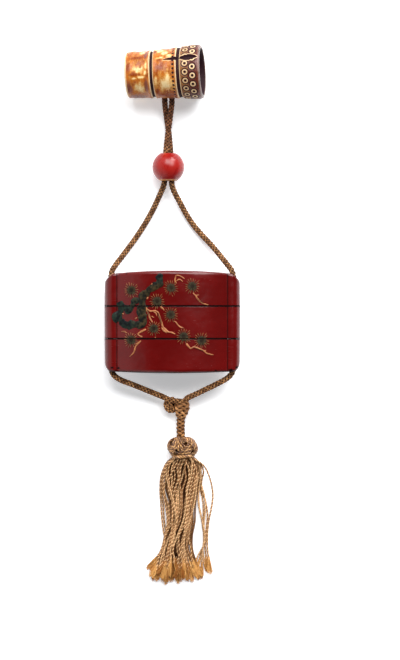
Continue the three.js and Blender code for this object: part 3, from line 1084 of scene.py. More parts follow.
@dataclass
class Studio:
    """A camera that looks straight down, a pale floor and soft lights round the object."""

    aim: tuple[float, float] = (12.74, -3.77)
    height: float = 1500.0
    lens: float = 176.7
    floor_half: float = 3000.0

    def camera(self) -> None:
        """Makes the scene's camera."""
        data = bpy.data.cameras.new("camera")
        data.lens = self.lens
        data.sensor_width = 36.0
        data.clip_end = 50.0
        camera = bpy.data.objects.new("camera", data)
        camera.location = (self.aim[0] * MM, self.aim[1] * MM, self.height * MM)
        bpy.context.scene.collection.objects.link(camera)
        bpy.context.scene.camera = camera

    def floor(self) -> None:
        """Makes the floor."""
        half = self.floor_half
        material = Paper().make()
        corners = [(-half, -half, 0), (half, -half, 0), (half, half, 0), (-half, half, 0)]
        mesh = bpy.data.meshes.new("floor")
        mesh.from_pydata((np.array(corners) * MM).tolist(), [], [(0, 1, 2, 3)])
        mesh.materials.append(material)
        floor = bpy.data.objects.new("floor", mesh)
        bpy.context.scene.collection.objects.link(floor)

    def lamp(self, name: str, place: Place, size: tuple[float, float], watts: float) -> None:
        """Hangs one softbox that faces the middle of the object.

        Args:
            name: The lamp's name.
            place: Where it hangs, in metres.
            size: Its width and height, in metres.
            watts: Its power.
        """
        data = bpy.data.lights.new(name, "AREA")
        data.shape = "RECTANGLE"
        data.size, data.size_y = size
        data.energy = watts
        lamp = bpy.data.objects.new(name, data)
        lamp.location = place
        towards = Vector((0.0, 0.0, 0.0)) - Vector(place)
        lamp.rotation_euler = towards.to_track_quat("-Z", "Y").to_euler()
        bpy.context.scene.collection.objects.link(lamp)

    def sky(self) -> None:
        """A pale room that is dim overhead, where the camera hangs."""
        world = bpy.data.worlds.new("room")
        world.use_nodes = True
        bpy.context.scene.world = world
        graph = Graph(world.node_tree)
        x, _, up = graph.split(graph.node("ShaderNodeTexCoord", output="Generated"))
        side = up.smooth(0.92, 0.66) * (x.smooth(0.05, -0.35) * 0.75 + 0.06)
        bright = side + up.smooth(0.5, 0.1) * (x.smooth(0.6, -0.3) * 0.2 + 0.1) + 0.012
        shade = graph.mix(bright, (0.0, 0.0, 0.0), (0.98, 0.99, 1.0))
        seen = graph.node("ShaderNodeLightPath", output="Is Camera Ray")
        background = world.node_tree.nodes["Background"]
        colour = graph.mix(seen, shade, (0.93, 0.94, 0.95))
        world.node_tree.links.new(colour.socket, background.inputs["Color"])
        background.inputs["Strength"].default_value = 1.0

    def build(self) -> None:
        """Sets up everything that isn't the object."""
        self.camera()
        self.floor()
        self.sky()
        self.lamp("key", (0.3, 1.05, 1.4), (1.9, 1.1), 54.0)
        self.lamp("spark", (0.66, 1.23, 0.56), (0.45, 0.45), 11.0)
        bpy.context.scene.view_settings.view_transform = "Standard"


# ---------------------------------------------------------------- cords


@dataclass
class Cords:
    """The two braided strands, from the knot in the toggle down to the knot above the tassel."""

    recipe: LaidStrands
    diameter: float = 2.7
    pair_x: float = -1.85
    braid: Lay = field(default_factory=lambda: Lay(8, 1.0, 6.8, 0.88, 0.19, 0.42, 0.36))
    heart_radius: float = 0.72
    # y, z, half the distance between the strands, and how far the pair has turned in degrees
    pair: tuple[tuple[float, float, float, float], ...] = (
        (106.9, 9.3, 1.6, 0), (103.5, 8.3, 1.65, 0), (100.6, 6.9, 1.65, 12), (97.6, 5.2, 1.6, 38),
        (94.6, 3.9, 1.6, 58), (91.4, 3.3, 1.6, 75), (88.2, 3.3, 1.6, 92), (84.8, 4.1, 1.6, 106),
        (81.6, 5.6, 1.6, 118), (78.4, 6.8, 1.55, 132), (75.0, 7.2, 1.55, 150), (71.3, 7.2, 1.55, 168),
        (67.6, 7.2, 1.55, 180),
    )
    left: tuple[Place, ...] = (
        (-3.9, 63.2, 6.7), (-5.4, 59.5, 4.8), (-7.1, 55.8, 3.1), (-8.9, 52.1, 2.0), (-10.9, 48.4, 1.65),
        (-13.0, 44.8, 1.65), (-15.4, 41.1, 1.8), (-17.9, 37.4, 2.5), (-20.6, 33.7, 3.8), (-23.3, 30.0, 5.6),
        (-25.9, 26.5, 7.8), (-27.6, 23.6, 9.7), (-28.2, 20.0, 10.8), (-28.2, 10.0, 10.8), (-28.2, 0.0, 10.8),
        (-28.2, -10.0, 10.8), (-28.2, -19.6, 10.8), (-27.9, -22.4, 10.6), (-26.6, -24.8, 10.2),
        (-23.4, -26.9, 9.5), (-19.8, -28.3, 8.5), (-16.3, -29.7, 7.6), (-12.9, -31.1, 6.8), (-9.5, -32.5, 6.0),
        (-3.3, -35.0, 5.3),
    )
    right: tuple[Place, ...] = (
        (-0.2, 63.2, 6.7), (1.1, 59.5, 4.8), (3.1, 55.8, 3.1), (5.1, 52.1, 2.0), (7.2, 48.4, 1.65),
        (9.7, 44.8, 1.65), (12.8, 41.1, 1.8), (16.2, 37.4, 2.6), (19.5, 33.7, 4.0), (22.5, 30.0, 6.0),
        (25.3, 26.4, 8.2), (27.3, 23.6, 9.8), (28.2, 20.0, 10.8), (28.2, 10.0, 10.8), (28.2, 0.0, 10.8),
        (28.2, -10.0, 10.8), (28.2, -19.6, 10.8), (27.9, -22.4, 10.6), (26.5, -24.8, 10.2), (23.9, -26.8, 9.5),
        (20.9, -28.4, 8.8), (18.2, -29.8, 8.0), (15.4, -31.1, 7.2), (12.6, -32.5, 6.4), (6.7, -35.2, 5.3),
    )

    def route(self, side: int, alone: tuple[Place, ...]) -> Array:
        """The whole route of one strand.

        Args:
            side: 1 or -1, for its side of the pair.
            alone: Its points below the bead.

        Returns:
            Points half a millimetre apart.
        """
        points = []
        for y, z, half, degrees in self.pair:
            turn = math.radians(degrees)
            across = side * half
            points.append((self.pair_x + across * math.cos(turn), y, z + across * math.sin(turn)))
        return through([*points, *alone], 0.5)

    def strand(self, name: str, route: Array, yarn: Material, heart: Material, tone: float) -> Piece:
        """One braided strand with its dark heart.

        Args:
            name: Name of the piece.
            route: Its centreline.
            yarn: Finish of the strands.
            heart: Finish of what shows between them.
            tone: Where the strands' tones start.

        Returns:
            The piece.
        """
        outer = self.braid.grow(self.recipe, name, [route], yarn, tone=[tone])
        core = Lay(1, 0.0, 10.0, 0.0, 0.0, self.heart_radius, 1.0, 8)
        inner = core.grow(self.recipe, name + "_heart", [route], heart)
        return joined(name, [outer, inner])

    def knot_in_toggle(self, yarn: Material) -> Piece:
        """The overhand knot inside the toggle that stops the cords.

        Args:
            yarn: Finish of the strands.

        Returns:
            The piece.
        """
        t = np.linspace(0, math.tau, 90)
        x = -1.9 + 0.72 * (np.sin(t) + 2 * np.sin(2 * t))
        y = 109.6 + 0.36 * (np.cos(t) - 2 * np.cos(2 * t))
        z = 9.85 - 1.15 * np.sin(3 * t)
        line = np.stack([x, y, z], axis=1)
        lay = Lay(8, 1.0, 8.0, 0.82, 0.16, 0.42, 0.4)
        return lay.grow(self.recipe, "toggle_knot", [line], yarn)

    def lower_knot(self, yarn: Material, heart: Material) -> Piece:
        """The knot that joins the strands: a loop to the left, a band over the top and a woven body.

        Args:
            yarn: Finish of the strands.
            heart: Finish of what shows between them.

        Returns:
            The piece.
        """
        loop = through(
            [
                (-3.9, -34.8, 5.0), (-1.6, -35.9, 6.1), (1.2, -36.5, 6.5), (3.6, -36.7, 6.0), (5.2, -37.2, 4.0),
                (4.4, -37.9, 1.9), (1.8, -37.0, 1.6), (-1.2, -36.3, 2.2), (-2.7, -37.3, 3.9),
                (-2.75, -39.0, 4.7), (-1.9, -40.5, 4.4), (-0.1, -40.9, 3.4), (1.6, -39.9, 2.6),
            ],
            0.4,
        )
        cross = through(
            [
                (7.4, -34.9, 5.2), (5.8, -36.2, 4.2), (6.6, -37.9, 3.0),
                (6.3, -39.6, 2.6), (4.5, -41.0, 2.3),
            ],
            0.4,
        )
        turn = through(
            [
                (0.4, -35.6, 3.6), (-1.0, -36.4, 4.9), (-1.45, -37.7, 5.35),
                (-1.0, -39.1, 5.0), (0.4, -40.2, 3.8),
            ],
            0.4,
        )
        single = Lay(8, 1.0, 6.8, 0.86, 0.18, 0.42, 0.36)
        cords = single.grow(self.recipe, "lower_knot", [loop, cross, turn], yarn, tone=[0.2, 0.6, 0.8])
        # a dark filler in the knot's eye, with the heart's finish: painted shade in the hole
        gap = through([(0.4, -36.6, 3.2), (0.9, -38.0, 3.1), (1.0, -39.2, 2.9)], 0.4)
        eye = Lay(1, 0.0, 10.0, 0.0, 0.0, 1.3, 0.5, 10).grow(self.recipe, "knot_eye", [gap], heart)
        body = through(
            [
                (4.3, -36.6, 4.3), (4.35, -38.2, 4.05), (4.3, -40.2, 3.9),
                (4.1, -42.2, 3.85), (3.95, -44.2, 3.8),
            ],
            0.4,
        )
        share = np.linspace(0, 1, len(body))
        swell = np.interp(share, [0, 0.2, 0.5, 0.75, 1], [0.95, 1.52, 1.5, 1.22, 0.9])
        weave = Lay(10, 1.0, 11.0, 1.8, 0.24, 0.52, 0.4)
        woven = weave.grow(self.recipe, "knot_body", [body], yarn, girth=[swell], tone=[0.4])
        fill = Lay(1, 0.0, 10.0, 0.0, 0.0, 1.75, 0.8, 12)
        inner = fill.grow(self.recipe, "knot_heart", [body], heart, girth=[swell])
        return joined("lower_knot", [cords, woven, inner, eye])

    def build(self) -> None:
        """Builds and dresses both strands and their knots."""
        yarn = CordYarn().make()
        heart = Shadow().make()
        knots = [
            dress(self.knot_in_toggle(yarn), Slot.BRAID, "netsuke_knot"),
            dress(self.lower_knot(yarn, heart), Slot.BRAID, "cord_knot"),
        ]
        for name, side, alone, tone in (("left", 1, self.left, 0.1), ("right", -1, self.right, 0.55)):
            route = self.route(side, alone)
            piece = self.strand(f"{name}_cord", route, yarn, heart, tone)
            dress(piece, Slot.BRAID, f"cord_{name}")
            length = float(np.linalg.norm(np.diff(route, axis=0), axis=1).sum())
            knots = []
            log.info("%s cord is %.1f mm long", name, length)


# ---------------------------------------------------------------- the case


@dataclass
class CaseShape:
    """The outside of the case, in millimetres: two crowned faces between two round cord ribs."""

    half_height: float = 23.7
    face_crown: float = 11.1
    face_radius: float = 50.0
    back_flat: float = 0.3
    rib_radius: float = 4.7
    rib_x: float = 26.5
    barrel: float = 0.006
    roll: float = 1.4
    lid_dome: float = 2.05
    foot_dome: float = 1.1
    crown_dome: float = 0.5
    face_steps: int = 92
    rib_steps: int = 40
    corner_blend: float = 0.7
    # corner curves in plan: from the side, by a bend point, to the end
    top_corner: tuple[tuple[float, float], ...] = ((31.6, 17.4), (30.4, 20.6), (24.5, 23.6))
    foot_corner: tuple[tuple[float, float], ...] = ((31.6, 17.5), (30.9, 23.0), (25.5, 24.2))

    @property
    def centre_z(self) -> float:
        """Height of the middle plane."""
        return self.face_crown - self.back_flat

    @property
    def half_width(self) -> float:
        """Half of the greatest width."""
        return self.rib_x + self.rib_radius

    def face_height(self, x: Array | float, depth: float = 0.0) -> Array:
        """Half thickness of the faces at a distance from the middle, at some depth below the surface."""
        radius = self.face_radius - depth
        return np.sqrt(radius * radius - np.square(x)) - (self.face_radius - self.face_crown)

    def outer_height(self, x: Array) -> Array:
        """Half thickness of the outside at a distance from the middle, ribs and all."""
        rib = np.sqrt(np.maximum(self.rib_radius**2 - np.square(np.abs(x) - self.rib_x), 0.0))
        return np.maximum(self.face_height(x), rib)

    @property
    def crease(self) -> float:
        """The angle round a rib at which the face meets it.

        Returns:
            The angle, in radians.
        """
        drop = self.face_crown - self.face_radius
        apart = math.hypot(self.rib_x, drop)
        cosine = (self.rib_radius**2 + apart**2 - self.face_radius**2) / (2 * self.rib_radius * apart)
        return math.atan2(drop, -self.rib_x) - math.acos(cosine) + math.tau

    def section(self) -> Array:
        """The section, as x and z for each point round it.

        Returns:
            A row for each point.
        """
        crease = self.crease
        rib = np.linspace(-crease, crease, self.rib_steps + 1)
        crease_x = self.rib_x + self.rib_radius * math.cos(crease)
        face = np.linspace(crease_x, -crease_x, self.face_steps + 1)[1:-1]
        x = np.concatenate([self.rib_x + self.rib_radius * np.cos(rib), face])
        z = np.concatenate([self.rib_radius * np.sin(rib), self.face_height(face)])
        return np.stack([np.concatenate([x, -x]), np.concatenate([z, -z])], axis=1)

    def inner(self, depth: float, half_width: float) -> Array:
        """An opening inside the case that matches the section point for point.

        Args:
            depth: How far its faces lie below the outer face.
            half_width: Half of its width.

        Returns:
            Its x and z.
        """
        bend = 0.8
        reach = math.sqrt(1 - bend**10)
        rise = np.sin(np.linspace(-1, 1, self.rib_steps + 1) * math.asin(reach))
        rib_x = half_width * (1 - rise**2) ** 0.1
        face_x = np.linspace(bend, -bend, self.face_steps + 1)[1:-1] * half_width
        squared = np.sqrt(1 - (np.abs(face_x) / half_width) ** 10)
        x = np.concatenate([rib_x, face_x])
        z = np.concatenate([self.face_height(rib_x, depth) * rise, self.face_height(face_x, depth) * squared])
        return np.stack([np.concatenate([x, -x]), np.concatenate([z, -z])], axis=1)

    def limited(self, x: Array, y: Array) -> Array:
        """Keeps a width within the rounded corners of the plan.

        Args:
            x: Places across.
            y: Places along.

        Returns:
            The places across, within the plan.
        """
        t = np.linspace(0, 1, 40)[:, None]
        limits = []
        for corner in (self.top_corner, self.foot_corner):
            a, b, c = (np.array(point) for point in corner)
            curve = a * (1 - t) ** 2 + b * 2 * t * (1 - t) + c * t**2
            limits.append(np.interp(np.abs(y), curve[:, 1], curve[:, 0]))
        limit = np.where(y > 0, limits[0], limits[1])
        size = np.abs(x)
        near = np.maximum(self.corner_blend - np.abs(size - limit), 0) / self.corner_blend
        return np.sign(x) * (np.minimum(size, limit) - near**2 * self.corner_blend / 4)

    def placed(self, x: Array, y: Array, z: Array) -> Array:
        """Points on the case, with its slight barrel, its corners and its flat back.

        Args:
            x: Places across.
            y: Places along.
            z: Heights from the middle plane.

        Returns:
            Points, three numbers each.
        """
        narrowing = 1 - self.barrel * np.minimum(np.abs(y) / self.half_height, 1) ** 2
        height = np.maximum(self.centre_z + z, 0.0)
        return np.stack([self.limited(x * narrowing, y), y, height], axis=1)

    def end_y(self, side: int, x: Array, z: Array, drop: float) -> Array:
        """How far along the case a point of an end lies.

        Args:
            side: 1 for the lid's end, -1 for the foot's.
            x: Places across.
            z: Heights from the middle plane.
            drop: How far below the end's surface.

        Returns:
            Places along.
        """
        dome = self.lid_dome if side > 0 else self.foot_dome
        fall = dome * (x / self.half_width) ** 2 + self.crown_dome * (z / self.face_crown) ** 2
        return side * (self.half_height - fall - drop)

    def end_ring(self, side: int, inset: float, drop: float) -> Array:
        """One ring of a rolled and domed end.

        Args:
            side: 1 for the lid's end, -1 for the foot's.
            inset: How far inside the outline.
            drop: How far below the end's surface.

        Returns:
            The ring's points.
        """
        x, z = self.section().T
        x = x * (1 - inset / self.half_width)
        z = z * (1 - inset / self.face_crown)
        return self.placed(x, self.end_y(side, x, z, drop), z)

    def end_rings(self, side: int) -> list[Array]:
        """A whole end, from the start of its roll to the line along its middle.

        Args:
            side: 1 for the lid's end, -1 for the foot's.

        Returns:
            The rings.
        """
        turn = np.linspace(0, math.pi / 2, 9)
        roll = self.roll
        rolled = [self.end_ring(side, roll * (1 - math.cos(a)), roll * (1 - math.sin(a))) for a in turn]
        shares = np.linspace(self.roll, self.face_crown, 15)[1:]
        return [*rolled, *(self.end_ring(side, float(inset), 0.0) for inset in shares)]

    def wall_ring(self, y: float, inset: float = 0.0) -> Array:
        """One level ring of the wall.

        Args:
            y: Its level.
            inset: How far inside the outline.

        Returns:
            The ring's points.
        """
        x, z = self.section().T
        level = np.full_like(x, y)
        return self.placed(x * (1 - inset / self.half_width), level, z * (1 - inset / self.face_crown))

    def wall_to_end(self, side: int, start: float, count: int) -> list[Array]:
        """Wall rings from a level to the start of an end's roll.

        Args:
            side: 1 for the lid's end, -1 for the foot's.
            start: The level that the wall starts from.
            count: How many levels, with both ends.

        Returns:
            The rings between the ends.
        """
        x, z = self.section().T
        finish = self.end_y(side, x, z, self.roll)
        shares = np.linspace(0, 1, count)[1:-1]
        return [self.placed(x, start + (finish - start) * share, z) for share in shares]

    def inner_ring(self, depth: float, half_width: float, y: float, share: float = 1.0) -> Array:
        """One ring of a hollow; a share of 0 closes it to a line."""
        x, z = self.inner(depth, half_width).T
        return np.stack([x, np.full_like(x, y), self.centre_z + z * share], axis=1)


@dataclass
class Case:
    """The lid, the middle and the bottom of the case, each hollow."""

    shape: CaseShape = field(default_factory=CaseShape)
    upper_seam: float = SEAMS[0]
    lower_seam: float = SEAMS[1]
    gap: float = 0.05
    mouth: tuple[float, float] = (1.5, 25.4)
    lip: tuple[float, float] = (1.8, 25.1)
    cavity: tuple[float, float] = (2.8, 24.1)
    lip_height: float = 3.0
    floor: float = 1.5
    end: float = 2.5
    edge_round: float = 0.17
    channel_x: float = 28.2
    channel_radius: float = 1.75
    channel_mouth: float = 21.2
    channel_flare: float = 2.6
    flare_length: float = 3.2

    def edge_rings(self, y: float, side: int) -> list[Array]:
        """A softly rounded edge, from the seam's face out to the wall.

        Args:
            y: The seam's level.
            side: 1 where the wall goes up from it, -1 where down.

        Returns:
            The rings.
        """
        turn = np.linspace(0, math.pi / 2, 5)
        size, wall_ring = self.edge_round, self.shape.wall_ring
        return [wall_ring(y + side * size * (1 - math.cos(a)), size * (1 - math.sin(a))) for a in turn]

    def closed_hollow(self, opening: tuple[float, float], y: float) -> list[Array]:
        """The flat end of a hollow, closing to a line."""
        return [self.shape.inner_ring(*opening, y, share) for share in (0.0, 0.35, 0.7, 1.0)]

    def skin(self, name: str, rings: list[Array], material: Material) -> Piece:
        """A closed skin over rings, with the cord channels through it.

        Args:
            name: Name of the piece.
            rings: Its rings.
            material: Its finish.

        Returns:
            The piece.
        """
        points = np.vstack(rings)
        piece = to_object(name, points, loft_faces(len(rings), len(rings[0])), material)
        for side in (-1, 1):
            cut(piece, self.channel(side, material))
        sharpen(piece)
        return piece

    def channel(self, side: int, material: Material) -> Piece:
        """A cutter for one cord channel, widened where the cord comes out.

        Args:
            side: 1 or -1, for the rib.
            material: Finish of what it cuts.

        Returns:
            The cutter.
        """
        reach = self.shape.half_height + 2
        foot = self.channel_mouth - self.flare_length
        half = [
            (0.0, self.channel_radius),
            (foot, self.channel_radius),
            (foot + 1.2, self.channel_radius + 0.18),
            (self.channel_mouth - 0.8, self.channel_flare - 0.3),
            (self.channel_mouth, self.channel_flare),
            (reach, self.channel_flare + 0.2),
        ]
        profile = [(-y, r) for y, r in half[:0:-1]] + half
        angle = np.linspace(0, math.tau, 36, endpoint=False)
        rings = []
        for y, radius in [(-reach, 0.0), *profile, (reach, 0.0)]:
            x = side * self.channel_x + radius * np.cos(angle)
            z = self.shape.centre_z + radius * np.sin(angle)
            rings.append(np.stack([x, np.full_like(x, y), z], axis=1))
        return to_object("channel", np.vstack(rings), loft_faces(len(rings), len(angle)), material)

    def build(self) -> None:
        """Builds and dresses the three sections."""
        lacquer = RedLacquer().make()
        shape, half_gap = self.shape, self.gap / 2
        mouth, lip, cavity = self.mouth, self.lip, self.cavity

        lid_edge = self.upper_seam + half_gap
        lid = [
            *self.closed_hollow(cavity, shape.half_height - self.end),
            shape.inner_ring(*cavity, lid_edge + self.lip_height),
            shape.inner_ring(*mouth, lid_edge + self.lip_height),
            shape.inner_ring(*mouth, lid_edge),
            *self.edge_rings(lid_edge, 1),
            *shape.wall_to_end(1, lid_edge + self.edge_round, 34),
            *shape.end_rings(1),
        ]
        dress(self.skin("lid_shell", lid, lacquer), Slot.LACQUER, "lid")

        top, foot = self.upper_seam - half_gap, self.lower_seam + half_gap
        wall = np.linspace(top - self.edge_round, foot + self.edge_round, 20)[1:-1]
        middle = [
            *self.closed_hollow(cavity, foot + self.lip_height + self.floor),
            shape.inner_ring(*cavity, top + self.lip_height),
            shape.inner_ring(*lip, top + self.lip_height),
            shape.inner_ring(*lip, top),
            *self.edge_rings(top, -1),
            *(shape.wall_ring(float(y)) for y in wall),
            *self.edge_rings(foot, 1)[::-1],
            shape.inner_ring(*mouth, foot),
            *self.closed_hollow(mouth, foot + self.lip_height)[::-1],
        ]
        dress(self.skin("middle_shell", middle, lacquer), Slot.LACQUER, "middle_section")

        bottom_top = self.lower_seam - half_gap
        bottom = [
            *self.closed_hollow(cavity, self.end - shape.half_height),
            shape.inner_ring(*cavity, bottom_top + self.lip_height),
            shape.inner_ring(*lip, bottom_top + self.lip_height),
            shape.inner_ring(*lip, bottom_top),
            *self.edge_rings(bottom_top, -1),
            *shape.wall_to_end(-1, bottom_top - self.edge_round, 34),
            *shape.end_rings(-1),
        ]
        dress(self.skin("bottom_shell", bottom, lacquer), Slot.LACQUER, "bottom_section")


# ---------------------------------------------------------------- the pine on the face


class Bursts(Recipe):
    """Needle tufts: needles that radiate from each seed point, laid on the crowned face."""

    def __init__(self) -> None:
        """Builds the tree."""
        super().__init__("needle tufts")
        graph = self.graph
        count = self.entry("Needles", "NodeSocketInt")
        inner = self.entry("Inner")
        outer = self.entry("Outer")
        half_width = self.entry("Half width")
        height = self.entry("Height")
        face_radius = self.entry("Face radius")
        face_base = self.entry("Face base")

        ball = graph.node("GeometryNodeMeshUVSphere", inputs={"Segments": 6, "Rings": 5, "Radius": 1.0})
        spread = graph.combined((outer - inner) * 0.5, half_width, height)
        middle = graph.combined((outer + inner) * 0.5, 0.0, 0.0)
        inputs = {"Geometry": ball, "Translation": middle, "Scale": spread}
        needle = graph.node("GeometryNodeTransform", inputs=inputs)
        out, _, _ = graph.split(graph.node("GeometryNodeInputPosition"))
        needle = self.stored(needle, "out", out)
        hub = graph.node("GeometryNodePoints", inputs={"Count": count})
        index = graph.node("GeometryNodeInputIndex")
        swing = self.random(index, -0.09, 0.09, 5)
        turn = graph.combined(0.0, 0.0, index / count * math.tau + swing)
        rotation = graph.node("FunctionNodeEulerToRotation", inputs={0: turn})
        length = self.random(index, 0.84, 1.06, 8)
        size = graph.combined(length, 1.0, 1.0)
        inputs = {"Points": hub, "Instance": needle, "Rotation": rotation, "Scale": size}
        tuft = graph.node("GeometryNodeInstanceOnPoints", inputs=inputs)
        turn = graph.combined(0.0, 0.0, self.read("turn"))
        rotation = graph.node("FunctionNodeEulerToRotation", inputs={0: turn})
        reach = self.read("reach")
        size = graph.combined(reach, reach, 1.0)
        inputs = {"Points": self.seed, "Instance": tuft, "Rotation": rotation, "Scale": size}
        tufts = graph.node("GeometryNodeInstanceOnPoints", inputs=inputs)
        real = graph.node("GeometryNodeRealizeInstances", inputs={"Geometry": tufts})
        x, _, _ = graph.split(graph.node("GeometryNodeInputPosition"))
        rise = (face_radius * face_radius - x * x).math("SQRT") + face_base
        inputs = {"Geometry": real, "Offset": graph.combined(0.0, 0.0, rise)}
        self.close(graph.node("GeometryNodeSetPosition", inputs=inputs))

    def random(self, index: Value, low: float, high: float, seed: int) -> Value:
        """A fixed random number for each index.

        Args:
            index: The index.
            low: The least number.
            high: The greatest number.
            seed: The fixed seed.

        Returns:
            The number.
        """
        inputs = {"ID": index, "Seed": seed}
        made = self.graph.node("FunctionNodeRandomValue", {"data_type": "FLOAT"}, inputs, 1)
        node = made.socket.node
        node.inputs[2].default_value = low
        node.inputs[3].default_value = high
        return made


@dataclass
class Stroke:
    """One raised brush stroke: its points in X and Y, its half width along the way and its height."""

    points: tuple[tuple[float, float], ...]
    half_widths: tuple[float, ...]
    height: float


@dataclass
class Pine:
    """A pine in raised lacquer and gold over all three sections of the front."""

    shape: CaseShape
    seams: tuple[float, float] = SEAMS
    gap: float = 0.14
    sunk: float = 0.12
    # x, y, reach, turn
    tufts: tuple[tuple[float, float, float, float], ...] = (
        (-18.7, 14.4, 3.5, 0.1), (-0.5, 15.5, 3.5, 0.25), (9.2, 16.2, 3.6, 0.0), (-6.8, 9.3, 3.6, 0.3),
        (-0.6, 3.2, 3.5, 0.15), (-8.4, -3.1, 3.4, 0.05), (-18.8, -8.4, 3.5, 0.2), (5.3, -6.8, 3.6, 0.1),
        (13.5, -8.6, 3.6, 0.3),
    )
    trunk: tuple[Stroke, ...] = (
        Stroke(((-5.4, 22.2), (-5.5, 20.2), (-6.0, 18.0), (-7.6, 16.2), (-9.6, 14.8), (-11.8, 13.6),
                (-13.2, 11.6), (-13.6, 9.0), (-13.8, 6.4), (-13.6, 3.8), (-13.6, 1.4), (-14.4, -0.6)),
               (1.5, 1.9, 1.9, 1.8, 1.7, 1.9, 1.9, 1.7, 2.1, 2.3, 2.4, 2.2), 0.34),
        Stroke(((-11.6, -0.6), (-14.6, -1.2), (-17.4, -1.5), (-20.4, -1.3), (-22.6, -0.6), (-24.4, 1.0)),
               (1.1, 1.9, 1.9, 1.9, 1.9, 1.7), 0.33),
        Stroke(((-22.8, 1.8), (-25.2, 2.2), (-27.8, 2.3)), (1.8, 2.4, 2.1), 0.3),
        Stroke(((-24.0, 2.6), (-23.8, 5.2), (-23.4, 7.8), (-23.1, 9.6)), (1.4, 1.3, 1.8, 1.5), 0.31),
        Stroke(((-23.0, 7.6), (-21.4, 6.2), (-19.9, 5.6), (-18.7, 6.6), (-17.9, 8.4), (-16.8, 9.6),
                (-15.0, 9.2)),
               (1.3, 1.4, 1.7, 1.3, 1.4, 1.5, 1.6), 0.32),
        Stroke(((-15.4, 7.6), (-14.2, 5.2)), (1.7, 1.9), 0.3),
    )
    branch_shade: tuple[Stroke, ...] = (
        Stroke(((-6.6, 4.4), (-5.9, 2.6), (-5.2, 0.6), (-4.5, -1.4)), (0.16, 0.24, 0.24, 0.12), 0.33),
        Stroke(((-11.5, 6.0), (-11.0, 4.2), (-10.2, 2.2)), (0.1, 0.2, 0.1), 0.32),
        Stroke(((11.2, 11.2), (12.6, 9.6), (14.6, 8.3)), (0.1, 0.14, 0.08), 0.31),
        Stroke(((9.8, -11.7), (12.0, -12.4), (14.6, -13.5)), (0.08, 0.16, 0.08), 0.32),
    )
    gold_width: float = 0.76
    # a pad's reach as a share, and its height
    pad_profile: tuple[Row, ...] = (
        (0.0, -0.16), (1.0, -0.16), (1.0, 0.02), (0.92, 0.09), (0.7, 0.13), (0.4, 0.15), (0.0, 0.16),
    )
    branches: tuple[Stroke, ...] = (
        Stroke(((-12.1, 7.4), (-11.5, 5.4), (-10.8, 3.4), (-10.0, 1.4), (-8.8, -0.4)),
               (0.55, 0.6, 0.5, 0.5, 0.3), 0.25),
        Stroke(((-11.6, 5.9), (-9.8, 4.8), (-7.8, 5.0), (-6.4, 4.3), (-5.6, 1.7), (-4.9, -0.2), (-4.3, -2.0),
                (-3.0, -3.6), (-1.8, -4.7), (-0.3, -4.9), (1.6, -5.7)),
               (0.3, 0.5, 0.45, 0.5, 0.5, 0.55, 0.65, 0.6, 0.55, 0.5, 0.4), 0.26),
        Stroke(((-4.9, -2.4), (-4.3, -3.4), (-2.4, -5.2)), (0.3, 0.5, 0.25), 0.22),
        Stroke(((-8.6, 4.6), (-7.3, 3.9), (-6.9, 2.4)), (0.3, 0.35, 0.2), 0.2),
        Stroke(((9.4, 13.2), (10.6, 12.0), (11.6, 10.6), (13.0, 9.1), (14.8, 8.1), (16.7, 7.7)),
               (0.3, 0.5, 0.42, 0.45, 0.4, 0.25), 0.25),
        Stroke(((11.0, 12.1), (12.4, 12.3)), (0.35, 0.2), 0.2),
        Stroke(((1.8, 21.4), (1.5, 20.0), (1.4, 18.6), (2.3, 17.4)), (0.3, 0.42, 0.4, 0.2), 0.24),
        Stroke(((1.9, 21.3), (3.6, 20.9), (5.8, 19.5)), (0.4, 0.35, 0.25), 0.24),
        Stroke(((1.9, 18.6), (3.4, 19.3), (5.0, 18.2)), (0.3, 0.42, 0.22), 0.24),
        Stroke(((-5.3, 7.0), (-4.4, 6.3), (-3.5, 5.0)), (0.3, 0.5, 0.3), 0.22),
        Stroke(((0.8, 0.4), (1.9, -0.3), (2.6, -1.3), (3.9, -2.5), (5.5, -2.9)),
               (0.25, 0.45, 0.35, 0.35, 0.2), 0.22),
        Stroke(((6.4, -9.8), (7.4, -11.2), (8.4, -12.2), (9.8, -11.5), (12.0, -12.2), (14.4, -13.3),
                (16.4, -14.6), (19.0, -15.2)),
               (0.55, 0.6, 0.5, 0.45, 0.5, 0.5, 0.42, 0.22), 0.26),
        Stroke(((9.6, -11.6), (10.9, -10.6)), (0.3, 0.2), 0.2),
        Stroke(((14.6, -13.3), (15.7, -13.0)), (0.4, 0.2), 0.2),
        Stroke(((-11.8, -3.5), (-13.6, -4.2), (-15.6, -5.6), (-14.8, -6.4), (-13.5, -7.0)),
               (0.5, 0.6, 0.5, 0.4, 0.55), 0.25),
        Stroke(((-14.2, -8.6), (-15.4, -9.8), (-16.6, -11.3), (-17.1, -12.8), (-17.7, -14.2), (-19.6, -16.1)),
               (0.35, 0.5, 0.45, 0.4, 0.35, 0.2), 0.24),
        Stroke(((-14.9, -9.3), (-16.8, -10.2)), (0.4, 0.25), 0.2),
        Stroke(((-23.4, -4.4), (-21.8, -4.5), (-20.6, -5.2)), (0.2, 0.42, 0.25), 0.22),
        Stroke(((-23.1, 4.0), (-22.0, 3.4)), (0.5, 0.45), 0.24),
        Stroke(((-17.1, 1.2), (-16.1, 2.1)), (0.35, 0.45), 0.24),
        Stroke(((-9.6, 16.9), (-8.8, 17.6)), (0.35, 0.3), 0.22),
        Stroke(((-11.6, 10.2), (-11.0, 11.4)), (0.45, 0.4), 0.24),
        Stroke(((-9.5, 2.6), (-8.2, 1.9)), (0.35, 0.3), 0.22),
        Stroke(((0.1, 12.2), (0.4, 11.4)), (0.3, 0.25), 0.22),
        Stroke(((-8.0, -7.1), (-7.3, -7.1)), (0.35, 0.3), 0.22),
    )

